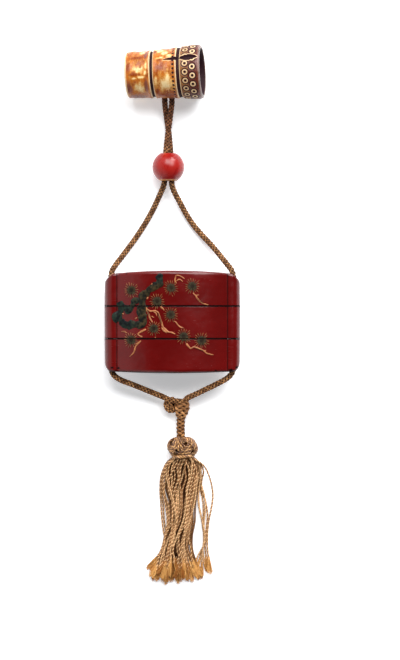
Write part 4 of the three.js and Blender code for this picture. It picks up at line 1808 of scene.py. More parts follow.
    def drape(self, x: Array, y: Array, above: Array) -> Array:
        """Points at a height above the crowned face."""
        z = self.shape.centre_z + self.shape.outer_height(x) + above
        return np.stack([x, y, z], axis=-1)

    def relief(
        self, stroke: Stroke, ragged: float, seed: int, width: float
    ) -> tuple[Array, list[Face]]:
        """The closed mesh of one stroke.

        Args:
            stroke: The stroke.
            ragged: How uneven its edges are, as a share of its width.
            width: A factor on its half widths.
            seed: Picks the unevenness.

        Returns:
            Points and faces.
        """
        flat = through([(x, y, 0.0) for x, y in stroke.points], 0.3)[:, :2]
        tangent = np.gradient(flat, axis=0)
        tangent /= np.linalg.norm(tangent, axis=1, keepdims=True)
        side = np.stack([-tangent[:, 1], tangent[:, 0]], axis=1)
        share = np.linspace(0, 1, len(flat))
        half = np.interp(share, np.linspace(0, 1, len(stroke.half_widths)), stroke.half_widths) * width
        random = np.random.default_rng(seed)
        waves = sum(
            np.sin(share[:, None] * len(flat) * 0.3 * rate + random.uniform(0, math.tau, 2)) / rate
            for rate in (0.9, 1.7, 3.1, 4.7)
        )
        length = len(flat) * 0.3
        tip = np.sqrt(np.clip(np.minimum(share, 1 - share) * length / np.minimum(half, 1.2), 0, 1)) + 0.02
        across = np.array([-1.0, -0.85, -0.5, 0.0, 0.5, 0.85, 1.0])
        dome = np.array([-self.sunk, 0.55, 0.9, 1.0, 0.9, 0.55, -self.sunk])
        left = half * tip * (1 + ragged * waves[:, 0])
        right = half * tip * (1 + ragged * waves[:, 1])
        reach = np.where(across[None, :] < 0, left[:, None], right[:, None]) * across[None, :]
        x = flat[:, 0, None] + side[:, 0, None] * reach
        y = flat[:, 1, None] + side[:, 1, None] * reach
        rise = np.where(dome > 0, dome * stroke.height, -self.sunk)[None, :]
        rise = np.where(rise > 0, rise * np.minimum(tip * 1.2, 1)[:, None], rise)
        top = self.drape(x, y, rise)
        buried = np.full((len(flat), len(across) - 2), -self.sunk * 1.6)
        under = self.drape(x[:, ::-1][:, 1:-1], y[:, ::-1][:, 1:-1], buried)
        rings = np.concatenate([top, under], axis=1)
        count = rings.shape[1]
        faces = loft_faces(len(rings), count)
        faces.append(tuple(range(count)))
        faces.append(tuple((len(rings) - 1) * count + i for i in reversed(range(count))))
        return rings.reshape(-1, 3), faces

    def strokes(
        self,
        name: str,
        strokes: tuple[Stroke, ...],
        ragged: float,
        material: Material,
        width: float = 1.0,
    ) -> Piece:
        """Several strokes as one mesh.

        Args:
            name: Name of the piece.
            strokes: The strokes.
            ragged: How uneven their edges are.
            material: Their finish.
            width: A factor on their half widths.

        Returns:
            The piece.
        """
        points: list[Array] = []
        faces: list[Face] = []
        start = 0
        for seed, stroke in enumerate(strokes):
            some, theirs = self.relief(stroke, ragged, seed + 11, width)
            points.append(some)
            faces.extend(tuple(start + i for i in face) for face in theirs)
            start += len(some)
        piece = to_object(name, np.vstack(points), faces, material)
        sharpen(piece, 60)
        return piece

    def tuft_seed(self) -> bpy.types.Mesh:
        """A point for each tuft, with its reach and turn.

        Returns:
            The points, as a mesh.
        """
        mesh = bpy.data.meshes.new("tufts")
        mesh.from_pydata([(x, y, 0.0) for x, y, _, _ in self.tufts], [], [])
        for name, column in (("reach", 2), ("turn", 3)):
            layer = mesh.attributes.new(name, "FLOAT", "POINT")
            layer.data.foreach_set("value", [tuft[column] for tuft in self.tufts])
        return mesh

    def pads(self, material: Material) -> Piece:
        """The low dark pads under the needles.

        Args:
            material: Their finish.

        Returns:
            The piece.
        """
        points, faces, start = [], [], 0
        angle = np.linspace(0, math.tau, 36, endpoint=False)
        for i, (x, y, reach, _) in enumerate(self.tufts):
            edge = reach * (0.55 + 0.05 * np.sin(10 * angle + i) + 0.03 * np.sin(7 * angle + 2 * i))
            for share, rise in self.pad_profile:
                across, along = x + edge * share * np.cos(angle), y + edge * share * np.sin(angle)
                points.append(self.drape(across, along, np.full_like(across, rise)))
            skin = loft_faces(len(self.pad_profile), len(angle))
            faces.extend(tuple(start + n for n in face) for face in skin)
            start += len(self.pad_profile) * len(angle)
        piece = to_object("tuft_pads", np.vstack(points), faces, material)
        sharpen(piece, 60)
        return piece

    def parted(self, piece: Piece, slot: Slot) -> None:
        """Parts a piece at the two seams, so that each section carries its own share.

        Args:
            piece: The piece, which its parts replace.
            slot: The parts' slot.
        """
        clear = (self.gap + 0.2) / 2
        upper, lower = self.seams
        spans = {
            "lid": (upper + clear, 60.0),
            "middle": (lower + clear, upper - clear),
            "bottom": (-60.0, lower - clear),
        }
        base = piece.name
        for section, (low, high) in spans.items():
            working = bmesh.new()
            working.from_mesh(piece.data)
            for y, way in ((low, -1), (high, 1)):
                geometry = working.verts[:] + working.edges[:] + working.faces[:]
                found = bmesh.ops.bisect_plane(
                    working,
                    geom=geometry,
                    dist=1e-7,
                    plane_co=(0, y * MM, 0),
                    plane_no=(0, way, 0),
                    clear_outer=True,
                )
                edges = [e for e in found["geom_cut"] if isinstance(e, bmesh.types.BMEdge)]
                if edges:
                    bmesh.ops.edgeloop_fill(working, edges=edges)
            if not working.faces:
                working.free()
                continue
            bmesh.ops.recalc_face_normals(working, faces=working.faces)
            mesh = piece.data.copy()
            working.to_mesh(mesh)
            working.free()
            part = bpy.data.objects.new(f"{base}_{section}", mesh)
            bpy.context.scene.collection.objects.link(part)
            dress(part, slot)
        bpy.data.objects.remove(piece)

    def build(self) -> None:
        """Builds, parts and dresses the whole picture."""
        bark, gold = BarkLacquer().make(), GoldPowder().make()
        olive = GoldPowder(
            name="tuft ground",
            metallic=0.0,
            specular=0.1,
            bright=(0.022, 0.013, 0.007),
            dull=(0.007, 0.005, 0.003),
        )
        needles = NeedlePowder(bright=(0.44, 0.19, 0.066), dull=(0.15, 0.072, 0.026))
        face_base = self.shape.centre_z - (self.shape.face_radius - self.shape.face_crown)
        tufts = Bursts().run(
            "needles",
            self.tuft_seed(),
            Material=needles.make(),
            Needles=18,
            Inner=0.08,
            Outer=1.12,
            Half_width=0.04,
            Height=0.26,
            Face_radius=self.shape.face_radius,
            Face_base=face_base,
        )
        self.parted(tufts, Slot.LACQUER)
        self.parted(self.pads(olive.make()), Slot.LACQUER)
        self.parted(self.strokes("trunk", self.trunk, 0.2, bark), Slot.LACQUER)
        self.parted(self.strokes("branches", self.branches, 0.2, gold, self.gold_width), Slot.LACQUER)
        self.parted(self.strokes("branch_shade", self.branch_shade, 0.2, bark), Slot.LACQUER)


# ---------------------------------------------------------------- the bead


@dataclass
class Bead:
    """The bead that slides on the doubled cord, bored along Y."""

    centre: Place = BEAD_CENTRE
    radius: float = 7.36
    bore: float = 3.4
    soften: float = 0.35
    around: int = 112

    def profile(self) -> Array:
        """Its turned outline as radius and distance along the bore, closed through the bore.

        Returns:
            A row for each point.
        """
        corner = math.acos((self.bore + self.soften) / self.radius)
        arc = np.linspace(-corner, corner, 61)
        outer = np.stack([self.radius * np.cos(arc), self.radius * np.sin(arc)], axis=1)
        reach = outer[-1, 1]
        turn = np.linspace(0.15, 1.0, 6) * math.pi / 2
        lip = np.stack([
            self.bore + self.soften * (1 - np.sin(turn)),
            reach - self.soften * (1 - np.cos(turn)) * 0.9,
        ], axis=1)
        wall = np.stack([np.full(7, self.bore), np.linspace(lip[-1, 1], -lip[-1, 1], 9)[1:-1]], axis=1)
        mirrored = lip[::-1] * (1, -1)
        return np.vstack([outer, lip, wall, mirrored])

    def build(self) -> None:
        """Turns and dresses the bead."""
        profile = self.profile()
        angle = np.linspace(0, math.tau, self.around, endpoint=False)
        rings = []
        for radius, along in profile:
            x = self.centre[0] + radius * np.cos(angle)
            z = np.maximum(self.centre[2] + radius * np.sin(angle), 0.0)
            rings.append(np.stack([x, np.full_like(x, self.centre[1] + along), z], axis=1))
        rings.append(rings[0])
        piece = to_object("coral_bead", np.vstack(rings), loft_faces(len(rings), self.around), Coral().make())
        sharpen(piece, 50)
        dress(piece, Slot.CORAL, "ojime_bead")


# ---------------------------------------------------------------- the toggle


@dataclass
class Toggle:
    """The horn toggle: a turned tube with dyed grooves, drilled dots, ringed dots and cut leaves."""

    left: Place = (-20.6, 113.4, 10.5)
    length: float = 34.6
    heading: float = math.radians(2.5)
    rise: float = math.radians(3.3)
    lean: float = math.tan(math.radians(4.0))
    slot_at: float = 18.6
    slot_half: float = 3.45
    slot_radius: float = 1.75
    slot_dip: float = math.radians(17.0)
    around: int = 400
    outside: tuple[tuple[float, float], ...] = (
        (10.5, 0.7), (10.75, 3), (10.75, 9.5), (11.15, 10.6), (11.15, 11.2), (10.4, 11.6), (10.4, 12.7),
        (11.2, 13.1), (11.2, 13.7), (11.1, 15), (11.6, 22), (11.95, 23.4), (11.35, 23.9), (11.35, 25.3),
        (12.0, 25.8), (12.5, 31), (12.55, 33), (12.2, 34.2),
    )
    # radius and place of the rings that round off the narrow end, the wide end and the bore
    narrow_end: tuple[Row, ...] = ((9.85, 0.02), (10.15, 0.1), (10.38, 0.35))
    wide_end: tuple[Row, ...] = ((12.05, 34.35), (11.85, 34.5), (11.6, 34.6), (11.2, 34.6), (10.95, 34.5))
    inside: tuple[Row, ...] = (
        (10.7, 34.2), (10.3, 33.2), (9.3, 30.0), (8.4, 26.0), (8.0, 18.0), (7.6, 10.0), (7.2, 1.2),
        (7.3, 0.5), (7.7, 0.05), (9.0, 0.0), (9.85, 0.02),
    )
    dots_at: float = 22.3
    dots: int = 37
    circles: int = 19
    circle_rows: tuple[tuple[float, float], ...] = ((27.9, 3.5), (31.3, 11.5))
    leaf_angle: float = -30.0
    # along, half length, half width, depth, and 1 where it is widest at its far end
    leaves: tuple[Row, ...] = ((29.3, 4.7, 1.6, 1.0, 0.0), (21.0, 3.6, 1.15, 0.7, 1.0))
    # the pale patches are partly the horn's cream and partly painted highlights
    # along, degrees round from the top, half length, half width in millimetres
    pale_patches: tuple[Row, ...] = (
        (8.2, -60.0, 1.5, 2.0), (6.4, -8.0, 2.6, 1.7), (9.9, -18.0, 0.6, 2.6), (9.6, 0.0, 0.8, 1.6),
        (7.6, 11.0, 1.9, 0.7), (4.6, 13.5, 1.6, 0.5), (6.6, 39.0, 2.5, 3.0), (14.6, -70.0, 1.6, 1.4),
        (16.4, -60.0, 1.8, 1.4), (18.4, -49.0, 2.0, 1.4), (20.4, -40.0, 1.6, 1.0), (16.2, -36.0, 1.8, 0.7),
        (14.4, 22.0, 1.0, 2.2), (18.8, 31.0, 3.9, 3.6), (19.6, 22.0, 1.2, 4.0), (5.0, 130.0, 3.0, 5.0),
        (17.0, 175.0, 3.6, 6.0), (7.0, -130.0, 3.0, 4.5),
    )
    rust_patches: tuple[Row, ...] = (
        (1.8, -16.0, 1.2, 3.0), (5.6, -40.0, 4.2, 1.2), (7.4, -14.0, 0.7, 0.6), (4.4, 4.0, 2.6, 1.0),
        (16.4, -11.0, 2.4, 1.7), (13.9, -58.0, 1.2, 1.6), (19.4, -74.0, 2.2, 1.6), (18.9, 66.0, 5.0, 2.2),
        (14.6, 55.0, 0.9, 3.0), (3.0, 170.0, 2.0, 6.0), (15.0, -140.0, 3.0, 5.0),
    )
    # the plum patches are partly stain and partly painted shade on the lower left
    plum_patches: tuple[Row, ...] = (
        (1.6, 42.0, 1.9, 4.4), (9.7, 34.0, 1.1, 4.6), (9.7, -49.0, 1.2, 3.0), (4.8, 76.0, 5.0, 3.2),
        (10.0, 110.0, 1.2, 6.0), (20.5, 88.0, 3.0, 2.6),
    )

    def laid(self, radius: Array, along: Array, angle: Array) -> Array:
        """Places points that are given round the toggle's own axis.

        Args:
            radius: Distance from the axis.
            along: Distance along it from the narrow end.
            angle: Radians round it from the top, towards the near side.

        Returns:
            Points in the shared frame.
        """
        x, z = radius * np.sin(angle), radius * np.cos(angle)
        y = along - self.lean * z
        c, s = math.cos(self.rise), math.sin(self.rise)
        forward = np.array([c * math.cos(self.heading), c * math.sin(self.heading), s])
        side = np.array([math.sin(self.heading), -math.cos(self.heading), 0.0])
        up = np.cross(side, forward)
        return np.array(self.left) + x[..., None] * side + y[..., None] * forward + z[..., None] * up

    def outer_radius(self, along: Array) -> Array:
        """The turned outline, eased so that its corners are soft.

        Args:
            along: Places along the axis.

        Returns:
            The radius at each.
        """
        fine = np.arange(-1.0, self.length + 1.0, 0.04)
        radii, places = np.array(self.outside).T
        raw = np.interp(fine, places, radii)
        kernel = np.exp(-0.5 * (np.arange(-8, 9) * 0.04 / 0.13) ** 2)
        return np.interp(along, fine, np.convolve(np.pad(raw, 8, "edge"), kernel / kernel.sum(), "valid"))

    def blot(self, along: Array, degrees: Array, patches: tuple[Row, ...], scale: float = 11.0) -> Array:
        """A mask that is 1 in the middle of each patch and falls to 0 past its edge.

        Args:
            along: Places along the axis.
            degrees: Degrees round from the top.
            patches: Place, degrees round, half length and half width of each patch.
            scale: The radius that its width is measured at.

        Returns:
            The mask.
        """
        mask = np.zeros_like(along)
        for place, around, half_length, half_width in patches:
            across = np.radians((degrees - around + 180) % 360 - 180) * scale
            reach = np.hypot((along - place) / half_length, across / half_width)
            mask = np.maximum(mask, 1 - eased(reach, 0.1, 1.7))
        return mask

    def leaf(self, along: Array, degrees: Array, leaf: Row) -> tuple[Array, Array]:
        """How deep a cut leaf is, from 0 to 1, and a thin line round its edge.

        Args:
            along: Places along the axis.
            degrees: Degrees round from the top.
            leaf: The leaf's row.

        Returns:
            The depth and the line.
        """
        place, half_length, half_width, _, skew = leaf
        across = np.radians((degrees - self.leaf_angle + 180) % 360 - 180) * 11.8
        t = np.clip((along - place) / half_length, -1, 1)
        outline = (1 - t * t) * (1 - skew) + ((1 + t) / 2) ** 0.6 * skew
        inside = half_width * outline - np.abs(across)
        near = np.abs(along - place) <= half_length + 0.25 * (1 - skew)
        depth = eased(inside, -0.05, half_width * 0.75) * near
        rim = (1 - eased(np.abs(inside + 0.2), 0.08, 0.26)) * near
        return depth, rim

    def carve(self, along: Array, degrees: Array) -> tuple[Array, dict[str, Array]]:
        """The cut pattern.

        Args:
            along: Distance along the axis, one for each point.
            degrees: Degrees round from the top.

        Returns:
            How far the surface moves outwards, and the colour masks.
        """
        cut_in = np.zeros_like(along)
        dye_and_bore_shade, cream = np.zeros_like(along), np.zeros_like(along)
        pitch = 360 / self.dots
        across = np.radians((degrees - 3.7 + pitch / 2) % pitch - pitch / 2) * 11.6
        reach = np.hypot(along - self.dots_at, across)
        cut_in += 0.35 * (1 - eased(reach, 0.25, 0.58))
        dye_and_bore_shade = np.maximum(dye_and_bore_shade, 1 - eased(reach, 0.42, 0.66))
        large, rim = self.leaf(along, degrees, self.leaves[0])
        small, thin = self.leaf(along, degrees, self.leaves[1])
        for row, (place, first) in enumerate(self.circle_rows):
            pitch = 360 / self.circles
            offset = (degrees - first + pitch / 2) % pitch - pitch / 2
            reach = np.hypot(along - place, np.radians(offset) * 12.3)
            kept = 1 - eased(large + rim * 0.6, 0.05, 0.3)
            centre = (1 - eased(reach, 0.45, 0.66)) * kept
            line = (1 - eased(np.abs(reach - 1.58), 0.13, 0.3)) * kept
            ring = (1 - eased(np.abs(reach - 0.98), 0.2, 0.38)) * kept
            cut_in += 0.32 * centre + 0.16 * line
            dye_and_bore_shade = np.maximum(dye_and_bore_shade, np.maximum(centre, line * 0.9))
            cream = np.maximum(cream, ring * (0.66, 1.0)[row])
        cut_in += self.leaves[0][3] * large + self.leaves[1][3] * small
        dye_and_bore_shade = np.maximum(dye_and_bore_shade, np.maximum(eased(large, 0.02, 0.2), eased(small, 0.02, 0.2)))
        cream = np.maximum(cream, np.maximum(rim * 0.9, thin * 0.7) * (1 - dye_and_bore_shade))
        for low, high in ((11.45, 12.9), (23.7, 25.4)):
            band = eased(along, low, low + 0.25) * (1 - eased(along, high - 0.25, high))
            dye_and_bore_shade = np.maximum(dye_and_bore_shade, band)
            for edge in (low - 0.12, high + 0.12):
                cream = np.maximum(cream, (1 - eased(np.abs(along - edge), 0.12, 0.34)) * (1 - large) * 0.95)
        collar = eased(along, 25.5, 25.9) * (1 - eased(along, 33.7, 34.0))
        facets = 0.16 * np.sin(np.radians(degrees) * 5 + 1.2 * np.sin(along * 0.5))
        facets *= 1 - eased(along, 20.0, 23.5)
        ripples = 0.05 * np.sin(along * 1.9 + np.radians(degrees) * 9) * (1 - eased(along, 20.0, 23.0))
        masks = {
            "dye_and_bore_shade": dye_and_bore_shade,
            "cream": np.maximum(cream, 1 - eased(along, 0.5, 1.1)),
            "collar": collar,
            "reddish": eased(along, 28.0, 31.5),
            "grey": eased(along, 33.7, 34.0),
            "pale": self.blot(along, degrees, self.pale_patches),
            "rust": self.blot(along, degrees, self.rust_patches),
            "plum": self.blot(along, degrees, self.plum_patches),
        }
        return facets + ripples - cut_in, masks

    def build(self) -> None:
        """Carves, drills and dresses the toggle."""
        along = np.concatenate([np.linspace(0.7, 20.0, 78), np.linspace(20.0, 34.1, 96)[1:]])
        angle = np.linspace(0, math.tau, self.around, endpoint=False)
        grid_along, grid_angle = np.meshgrid(along, angle, indexing="ij")
        degrees = (np.degrees(grid_angle) + 180) % 360 - 180
        lift, masks = self.carve(grid_along, degrees)
        radius = self.outer_radius(grid_along) + lift
        one = np.ones(self.around)
        pale, grey = {"cream": one}, {"grey": one, "cream": one * 0.35}
        carved = [{name: mask[i] for name, mask in masks.items()} for i in range(len(along))]
        rows = [
            *((one * r, one * a, pale) for r, a in self.narrow_end),
            *zip(radius, grid_along, carved),
            *((one * r, one * a, grey) for r, a in self.wide_end),
            # the inside of the bore is coloured dark: painted shade
            *((one * r, one * a, {"dye_and_bore_shade": one} if a > 0.3 else pale) for r, a in self.inside),
        ]
        points = np.vstack([self.laid(r, a, angle) for r, a, _ in rows])
        points[:, 2] = np.maximum(points[:, 2], 0.0)
        piece = bpy.data.objects.new("horn_toggle", bpy.data.meshes.new("horn_toggle"))
        piece.data.from_pydata((points * MM).tolist(), [], loft_faces(len(rows), self.around))
        piece.data.materials.append(StainedHorn().make())
        for name in masks:
            values = [marks.get(name, one * 0) for _, _, marks in rows]
            layer = piece.data.attributes.new(name, "FLOAT", "POINT")
            layer.data.foreach_set("value", np.concatenate(values).astype(np.float32))
        bpy.context.scene.collection.objects.link(piece)
        weld(piece)
        cut(piece, self.cord_slot(piece.data.materials[0]))
        sharpen(piece, 50)
        dress(piece, Slot.HORN, "netsuke")

    def cord_slot(self, material: Material) -> Piece:
        """A cutter for the slot that the cords leave by.

        Args:
            material: Finish of what it cuts.

        Returns:
            The cutter.
        """
        reach = self.slot_half - self.slot_radius
        turn = np.linspace(-math.pi / 2, math.pi / 2, 15)
        right = np.stack([reach + self.slot_radius * np.cos(turn), self.slot_radius * np.sin(turn)], axis=1)
        outline = np.vstack([right, -right])
        way = np.array([1.0, math.tan(self.heading), math.tan(self.rise)])
        origin = np.array(self.left) + self.slot_at * way
        down, back = math.sin(self.slot_dip), math.cos(self.slot_dip)
        outward, across = np.array([0.0, -back, -down]), np.array([1.0, 0.0, 0.0])
        upward = np.array([0.0, -down, back])
        rings = []
        for depth, size in ((0.0, 0.0), (0.0, 1.0), (16.0, 1.0), (16.0, 0.0)):
            flat = outline * size
            rings.append(origin + outward * depth + flat[:, :1] * across + flat[:, 1:] * upward)
        return to_object("slot", np.vstack(rings), loft_faces(len(rings), len(outline)), material)


# ---------------------------------------------------------------- the tassel


@dataclass
class Tassel:
    """The braided neck, the wrapped head and the skirt of strings with frayed tips."""

    recipe: LaidStrands
    head: Place = HEAD_CENTRE
    head_radii: Place = HEAD_RADII
    wrap_depth: float = 1.1
    floor: float = 0.3
    # along Y, left edge, right edge and height of the bundle, from the tips up
    stations: tuple[Row, ...] = (
        (-121.0, -5.0, 9.0, 3.0), (-118.0, -7.0, 11.0, 3.8), (-113.0, -8.4, 12.0, 4.6), (-108.5, -6.4, 10.4, 5.1),
        (-104.0, -4.8, 9.2, 5.6), (-98.0, -3.6, 9.4, 6.1), (-92.0, -2.2, 10.6, 6.5), (-85.0, -2.6, 10.8, 6.8),
        (-78.0, -4.8, 11.8, 7.1), (-73.0, -4.9, 13.0, 7.6), (-67.5, -4.3, 13.6, 8.4), (-64.6, -2.4, 12.2, 8.9),
        (-62.0, 0.6, 8.8, 8.6),
    )
    # the routes of the strings that have strayed, from the head to the tip
    strays: tuple[tuple[Place, ...], ...] = (
        (
            (9.6, -63.0, 6.6), (13.2, -65.2, 6.2), (15.5, -68.0, 4.6), (17.6, -73.6, 2.4), (18.7, -79.6, 1.1),
            (18.2, -85.6, 0.9), (17.0, -91.4, 0.9), (16.2, -98.0, 0.9), (16.3, -105.0, 0.9), (16.9, -111.0, 0.9),
        ),
        (
            (9.4, -63.0, 5.6), (12.8, -65.4, 5.4), (14.3, -69.0, 4.4), (13.6, -73.0, 3.0), (13.6, -78.0, 1.8),
            (15.4, -83.6, 1.0), (16.2, -89.6, 1.7), (15.6, -97.0, 1.9), (15.2, -104.0, 1.9), (15.9, -110.6, 1.3),
        ),
        (
            (9.2, -63.2, 4.4), (12.6, -66.0, 4.0), (13.2, -71.0, 3.2), (13.2, -75.0, 2.2), (14.6, -80.0, 1.9),
            (15.2, -86.0, 2.0), (14.6, -93.0, 1.2), (14.6, -100.0, 1.0), (14.2, -106.0, 1.0), (14.9, -112.0, 0.8),
        ),
        (
            (8.8, -63.4, 3.4), (11.6, -66.4, 3.0), (12.4, -72.0, 2.2), (12.8, -77.0, 1.2), (14.0, -82.0, 0.8),
            (14.4, -88.0, 0.8), (14.0, -95.0, 0.8), (15.3, -101.0, 0.8), (13.2, -106.6, 0.9), (12.6, -111.4, 0.8),
        ),
        (
            (8.6, -63.4, 2.6), (11.2, -66.6, 2.2), (11.4, -73.0, 1.4), (11.9, -79.0, 0.9), (12.4, -85.0, 0.8),
            (13.4, -91.0, 0.8), (14.3, -97.4, 1.4), (14.5, -103.0, 1.8), (11.9, -108.0, 1.4), (10.6, -111.6, 0.9),
        ),
        (
            (8.9, -63.2, 5.0), (12.2, -66.2, 5.0), (13.0, -71.6, 3.6), (12.2, -78.0, 1.8), (12.0, -84.0, 1.0),
            (13.8, -92.0, 2.0), (14.9, -99.0, 2.8), (14.0, -105.0, 2.6), (13.6, -109.6, 1.8), (13.8, -113.4, 1.0),
        ),
        (
            (-0.2, -63.4, 3.4), (-3.2, -66.2, 3.4), (-5.2, -71.4, 2.2), (-5.7, -77.6, 1.1), (-5.3, -84.0, 0.8),
            (-5.0, -90.0, 0.8), (-4.2, -96.0, 1.0), (-3.4, -101.4, 1.6), (-5.6, -107.6, 1.4), (-8.2, -111.4, 0.8),
        ),
        (
            (-0.4, -63.2, 4.4), (-3.0, -66.6, 4.6), (-4.8, -72.0, 3.4), (-5.3, -78.4, 2.0), (-4.4, -84.6, 1.0),
            (-3.9, -90.4, 0.8), (-3.2, -96.4, 1.2), (-2.6, -101.4, 2.2), (-5.2, -106.8, 2.0), (-7.0, -110.4, 1.2),
        ),
        (
            (0.4, -63.2, 5.6), (-2.4, -65.8, 6.0), (-3.9, -70.6, 5.2), (-4.5, -76.6, 4.0), (-3.3, -83.6, 3.6),
            (-2.4, -90.6, 3.4), (-2.9, -97.0, 3.2), (-4.4, -103.0, 2.8), (-6.6, -107.6, 2.2), (-9.2, -110.6, 1.2),
        ),
    )
    string: Lay = field(default_factory=lambda: Lay(2, 0.0, 1.9, 0.22, 0.0, 0.275, 0.34, 5))
    fibres: int = 22
    seed: int = 7

    def neck(self, yarn: Material, heart: Material) -> Piece:
        """The thick braid between the knot and the head.

        Args:
            yarn: Finish of the strands.
            heart: Finish of what shows between them.

        Returns:
            The piece.
        """
        line = through([(3.95, -43.6, 3.8), (3.85, -46.5, 4.0), (3.8, -49.5, 4.5), (4.0, -53.2, 5.1)], 0.4)
        lay = Lay(6, 1.0, 5.4, 1.26, 0.3, 0.6, 0.3, 7)
        outer = lay.grow(self.recipe, "tassel_neck_braid", [line], yarn, tone=[0.3])
        inner = Lay(1, 0.0, 10.0, 0.0, 0.0, 0.9, 0.8, 10).grow(self.recipe, "neck_heart", [line], heart)
        return joined("tassel_neck_braid", [outer, inner])

    def on_head(self, longitude: Array, latitude: Array, lift: Array) -> Array:
        """Points on the head, whose poles lie along Y.

        Args:
            longitude: Radians round Y from the top.
            latitude: Radians towards the neck.
            lift: How far above the wrapped core.

        Returns:
            The points.
        """
        rx, ry, rz = (r - self.wrap_depth for r in self.head_radii)
        ring = np.cos(latitude)
        out = np.stack([ring * np.sin(longitude), np.sin(latitude), ring * np.cos(longitude)], axis=-1)
        base = out * (rx, ry, rz)
        return np.array(self.head) + base + out * lift[..., None]

    def wraps(self, yarn: Material, heart: Material) -> Piece:
        """The head: a woven band of three leads, each of four cords side by side, over a roped foot.

        Args:
            yarn: Finish of the strands.
            heart: Finish of what shows between them.

        Returns:
            The piece.
        """
        bights, leads = 5, 3
        t = np.linspace(0, math.tau, 620)
        lines = []
        for offset in np.arange(-1.5, 2.0):
            longitude = leads * t + 0.2
            latitude = math.radians(60) * np.cos(bights * t)
            lift = 0.2 + 0.46 * np.sin(2 * bights * t) - 0.1 * offset**2
            path = self.on_head(longitude, latitude, lift)
            ahead = np.gradient(path, axis=0)
            ahead /= np.linalg.norm(ahead, axis=1, keepdims=True)
            out = path - np.array(self.head)
            out /= np.linalg.norm(out, axis=1, keepdims=True)
            lines.append(path + np.cross(ahead, out) * offset * 1.06)
        cord = Lay(2, 0.0, 2.3, 0.24, 0.0, 0.31, 0.34, 6)
        outer = cord.grow(self.recipe, "tassel_head_wraps", lines, yarn, tone=[0.05, 0.5, 0.85, 0.3])
        turn = np.linspace(0, math.tau, 60)
        foot = np.stack([
            self.head[0] + 0.2 + 4.5 * np.sin(turn),
            self.head[1] - 4.1 + 0.15 * np.sin(3 * turn),
            self.head[2] + 3.9 * np.cos(turn),
        ], axis=1)
        rope = Lay(3, 0.0, 3.6, 0.42, 0.0, 0.4, 0.34, 6)
        roped = rope.grow(self.recipe, "head_foot", [foot], yarn, tone=[0.6])
        u, v = np.meshgrid(np.linspace(0, math.tau, 40, endpoint=False), np.linspace(-1.57, 1.57, 24))
        core = self.on_head(u, v, np.full_like(u, -0.45)).reshape(-1, 3)
        inner = to_object("head_heart", core, loft_faces(24, 40), heart)
        return joined("tassel_head_wraps", [outer, roped, inner])

    def spread(self, y: float) -> tuple[float, float, float]:
        """Left edge, right edge and height of the main bundle at a place along it.

        Args:
            y: The place along Y.

        Returns:
            The two edges and the height.
        """
        places, *edges = zip(*self.stations)
        left, right, height = (float(np.interp(y, places, edge)) for edge in edges)
        return left, right, height

    def main_lines(self, random: np.random.Generator) -> list[Array]:
        """The strings of the main bundle, in layers from the floor up.

        Args:
            random: Where the strings' chances come from.

        Returns:
            A line for each string.
        """
        lines = []
        levels = ((0.10, 14), (0.36, 15), (0.58, 14), (0.78, 13), (0.97, 9))
        places = (-62.0, -64.4, -67.0, -72.0, -78.0, -85.0, -92.0, -99.0, -105.0, -109.5)
        for level, count in levels:
            width = 1.0 - 0.16 * abs(level - 0.45) / 0.55
            if level > 0.9:
                width = 0.78
            for i in range(count):
                u = (i + 0.5 + random.uniform(-0.3, 0.3)) / count
                u = 0.5 + (u - 0.5) * width
                wander = random.normal(0, 0.055, len(places)).cumsum() * 0.8
                drawn = (-0.36, -0.04) if level > 0.5 and u > 0.35 else (-0.08, 0.1)
                slip = random.uniform(*drawn)
                end = random.uniform(-113.8, -110.4) - 3.4 * math.exp(-(((u - 0.55) / 0.2) ** 2))
                points = []
                for j, y in enumerate((*places, end)):
                    left, right, height = self.spread(y)
                    share = u + wander[min(j, 9)] + slip * eased(np.array(-y), 74.0, 106.0)
                    share = min(max(share, 0.02), 0.98)
                    arch = math.sqrt(max(0.0, 1 - (2 * share - 1) ** 2 * 0.86))
                    low = 0.65
                    z = low + (height - 0.65 - low) * level * arch
                    if y > -63.0:
                        z = 2.4 + 6.2 * level
                    points.append((left + (right - left) * share, y, z + random.uniform(-0.2, 0.2)))
                lines.append(through(points, 0.5))
        return lines

    def core(self, material: Material) -> Piece:
        """A dark mesh inside the main bundle: painted shade, seen between the strings.

        Args:
            material: Its finish.

        Returns:
            The piece.
        """
        angle = np.linspace(0, math.tau, 24, endpoint=False)
        rings = []
        for y in np.linspace(-63.5, -108.0, 26):
            left, right, height = self.spread(float(y))
            middle, half = (left * 0.55 + right * 0.45), (right - left) / 2 * 0.56
            base, top = 2.6, height * 0.74
            x, z = middle + half * np.cos(angle), base + (top - base) * (0.5 + 0.5 * np.sin(angle))
            rings.append(np.stack([x, np.full_like(x, y), z], axis=1))
        first, last = rings[0].mean(axis=0), rings[-1].mean(axis=0)
        rings = [np.tile(first, (24, 1)), *rings, np.tile(last, (24, 1))]
        return to_object("tassel_core", np.vstack(rings), loft_faces(len(rings), 24), material)

    def loose_lines(self, random: np.random.Generator) -> list[Array]:
        """The strings that have strayed to either side.

        Args:
            random: Where the strings' chances come from.

        Returns:
            A line for each string.
        """
        loosened = [np.array(route) + random.normal(0, 0.08, (len(route), 3)) for route in self.strays]
        return [through(route, 0.5) for route in loosened]

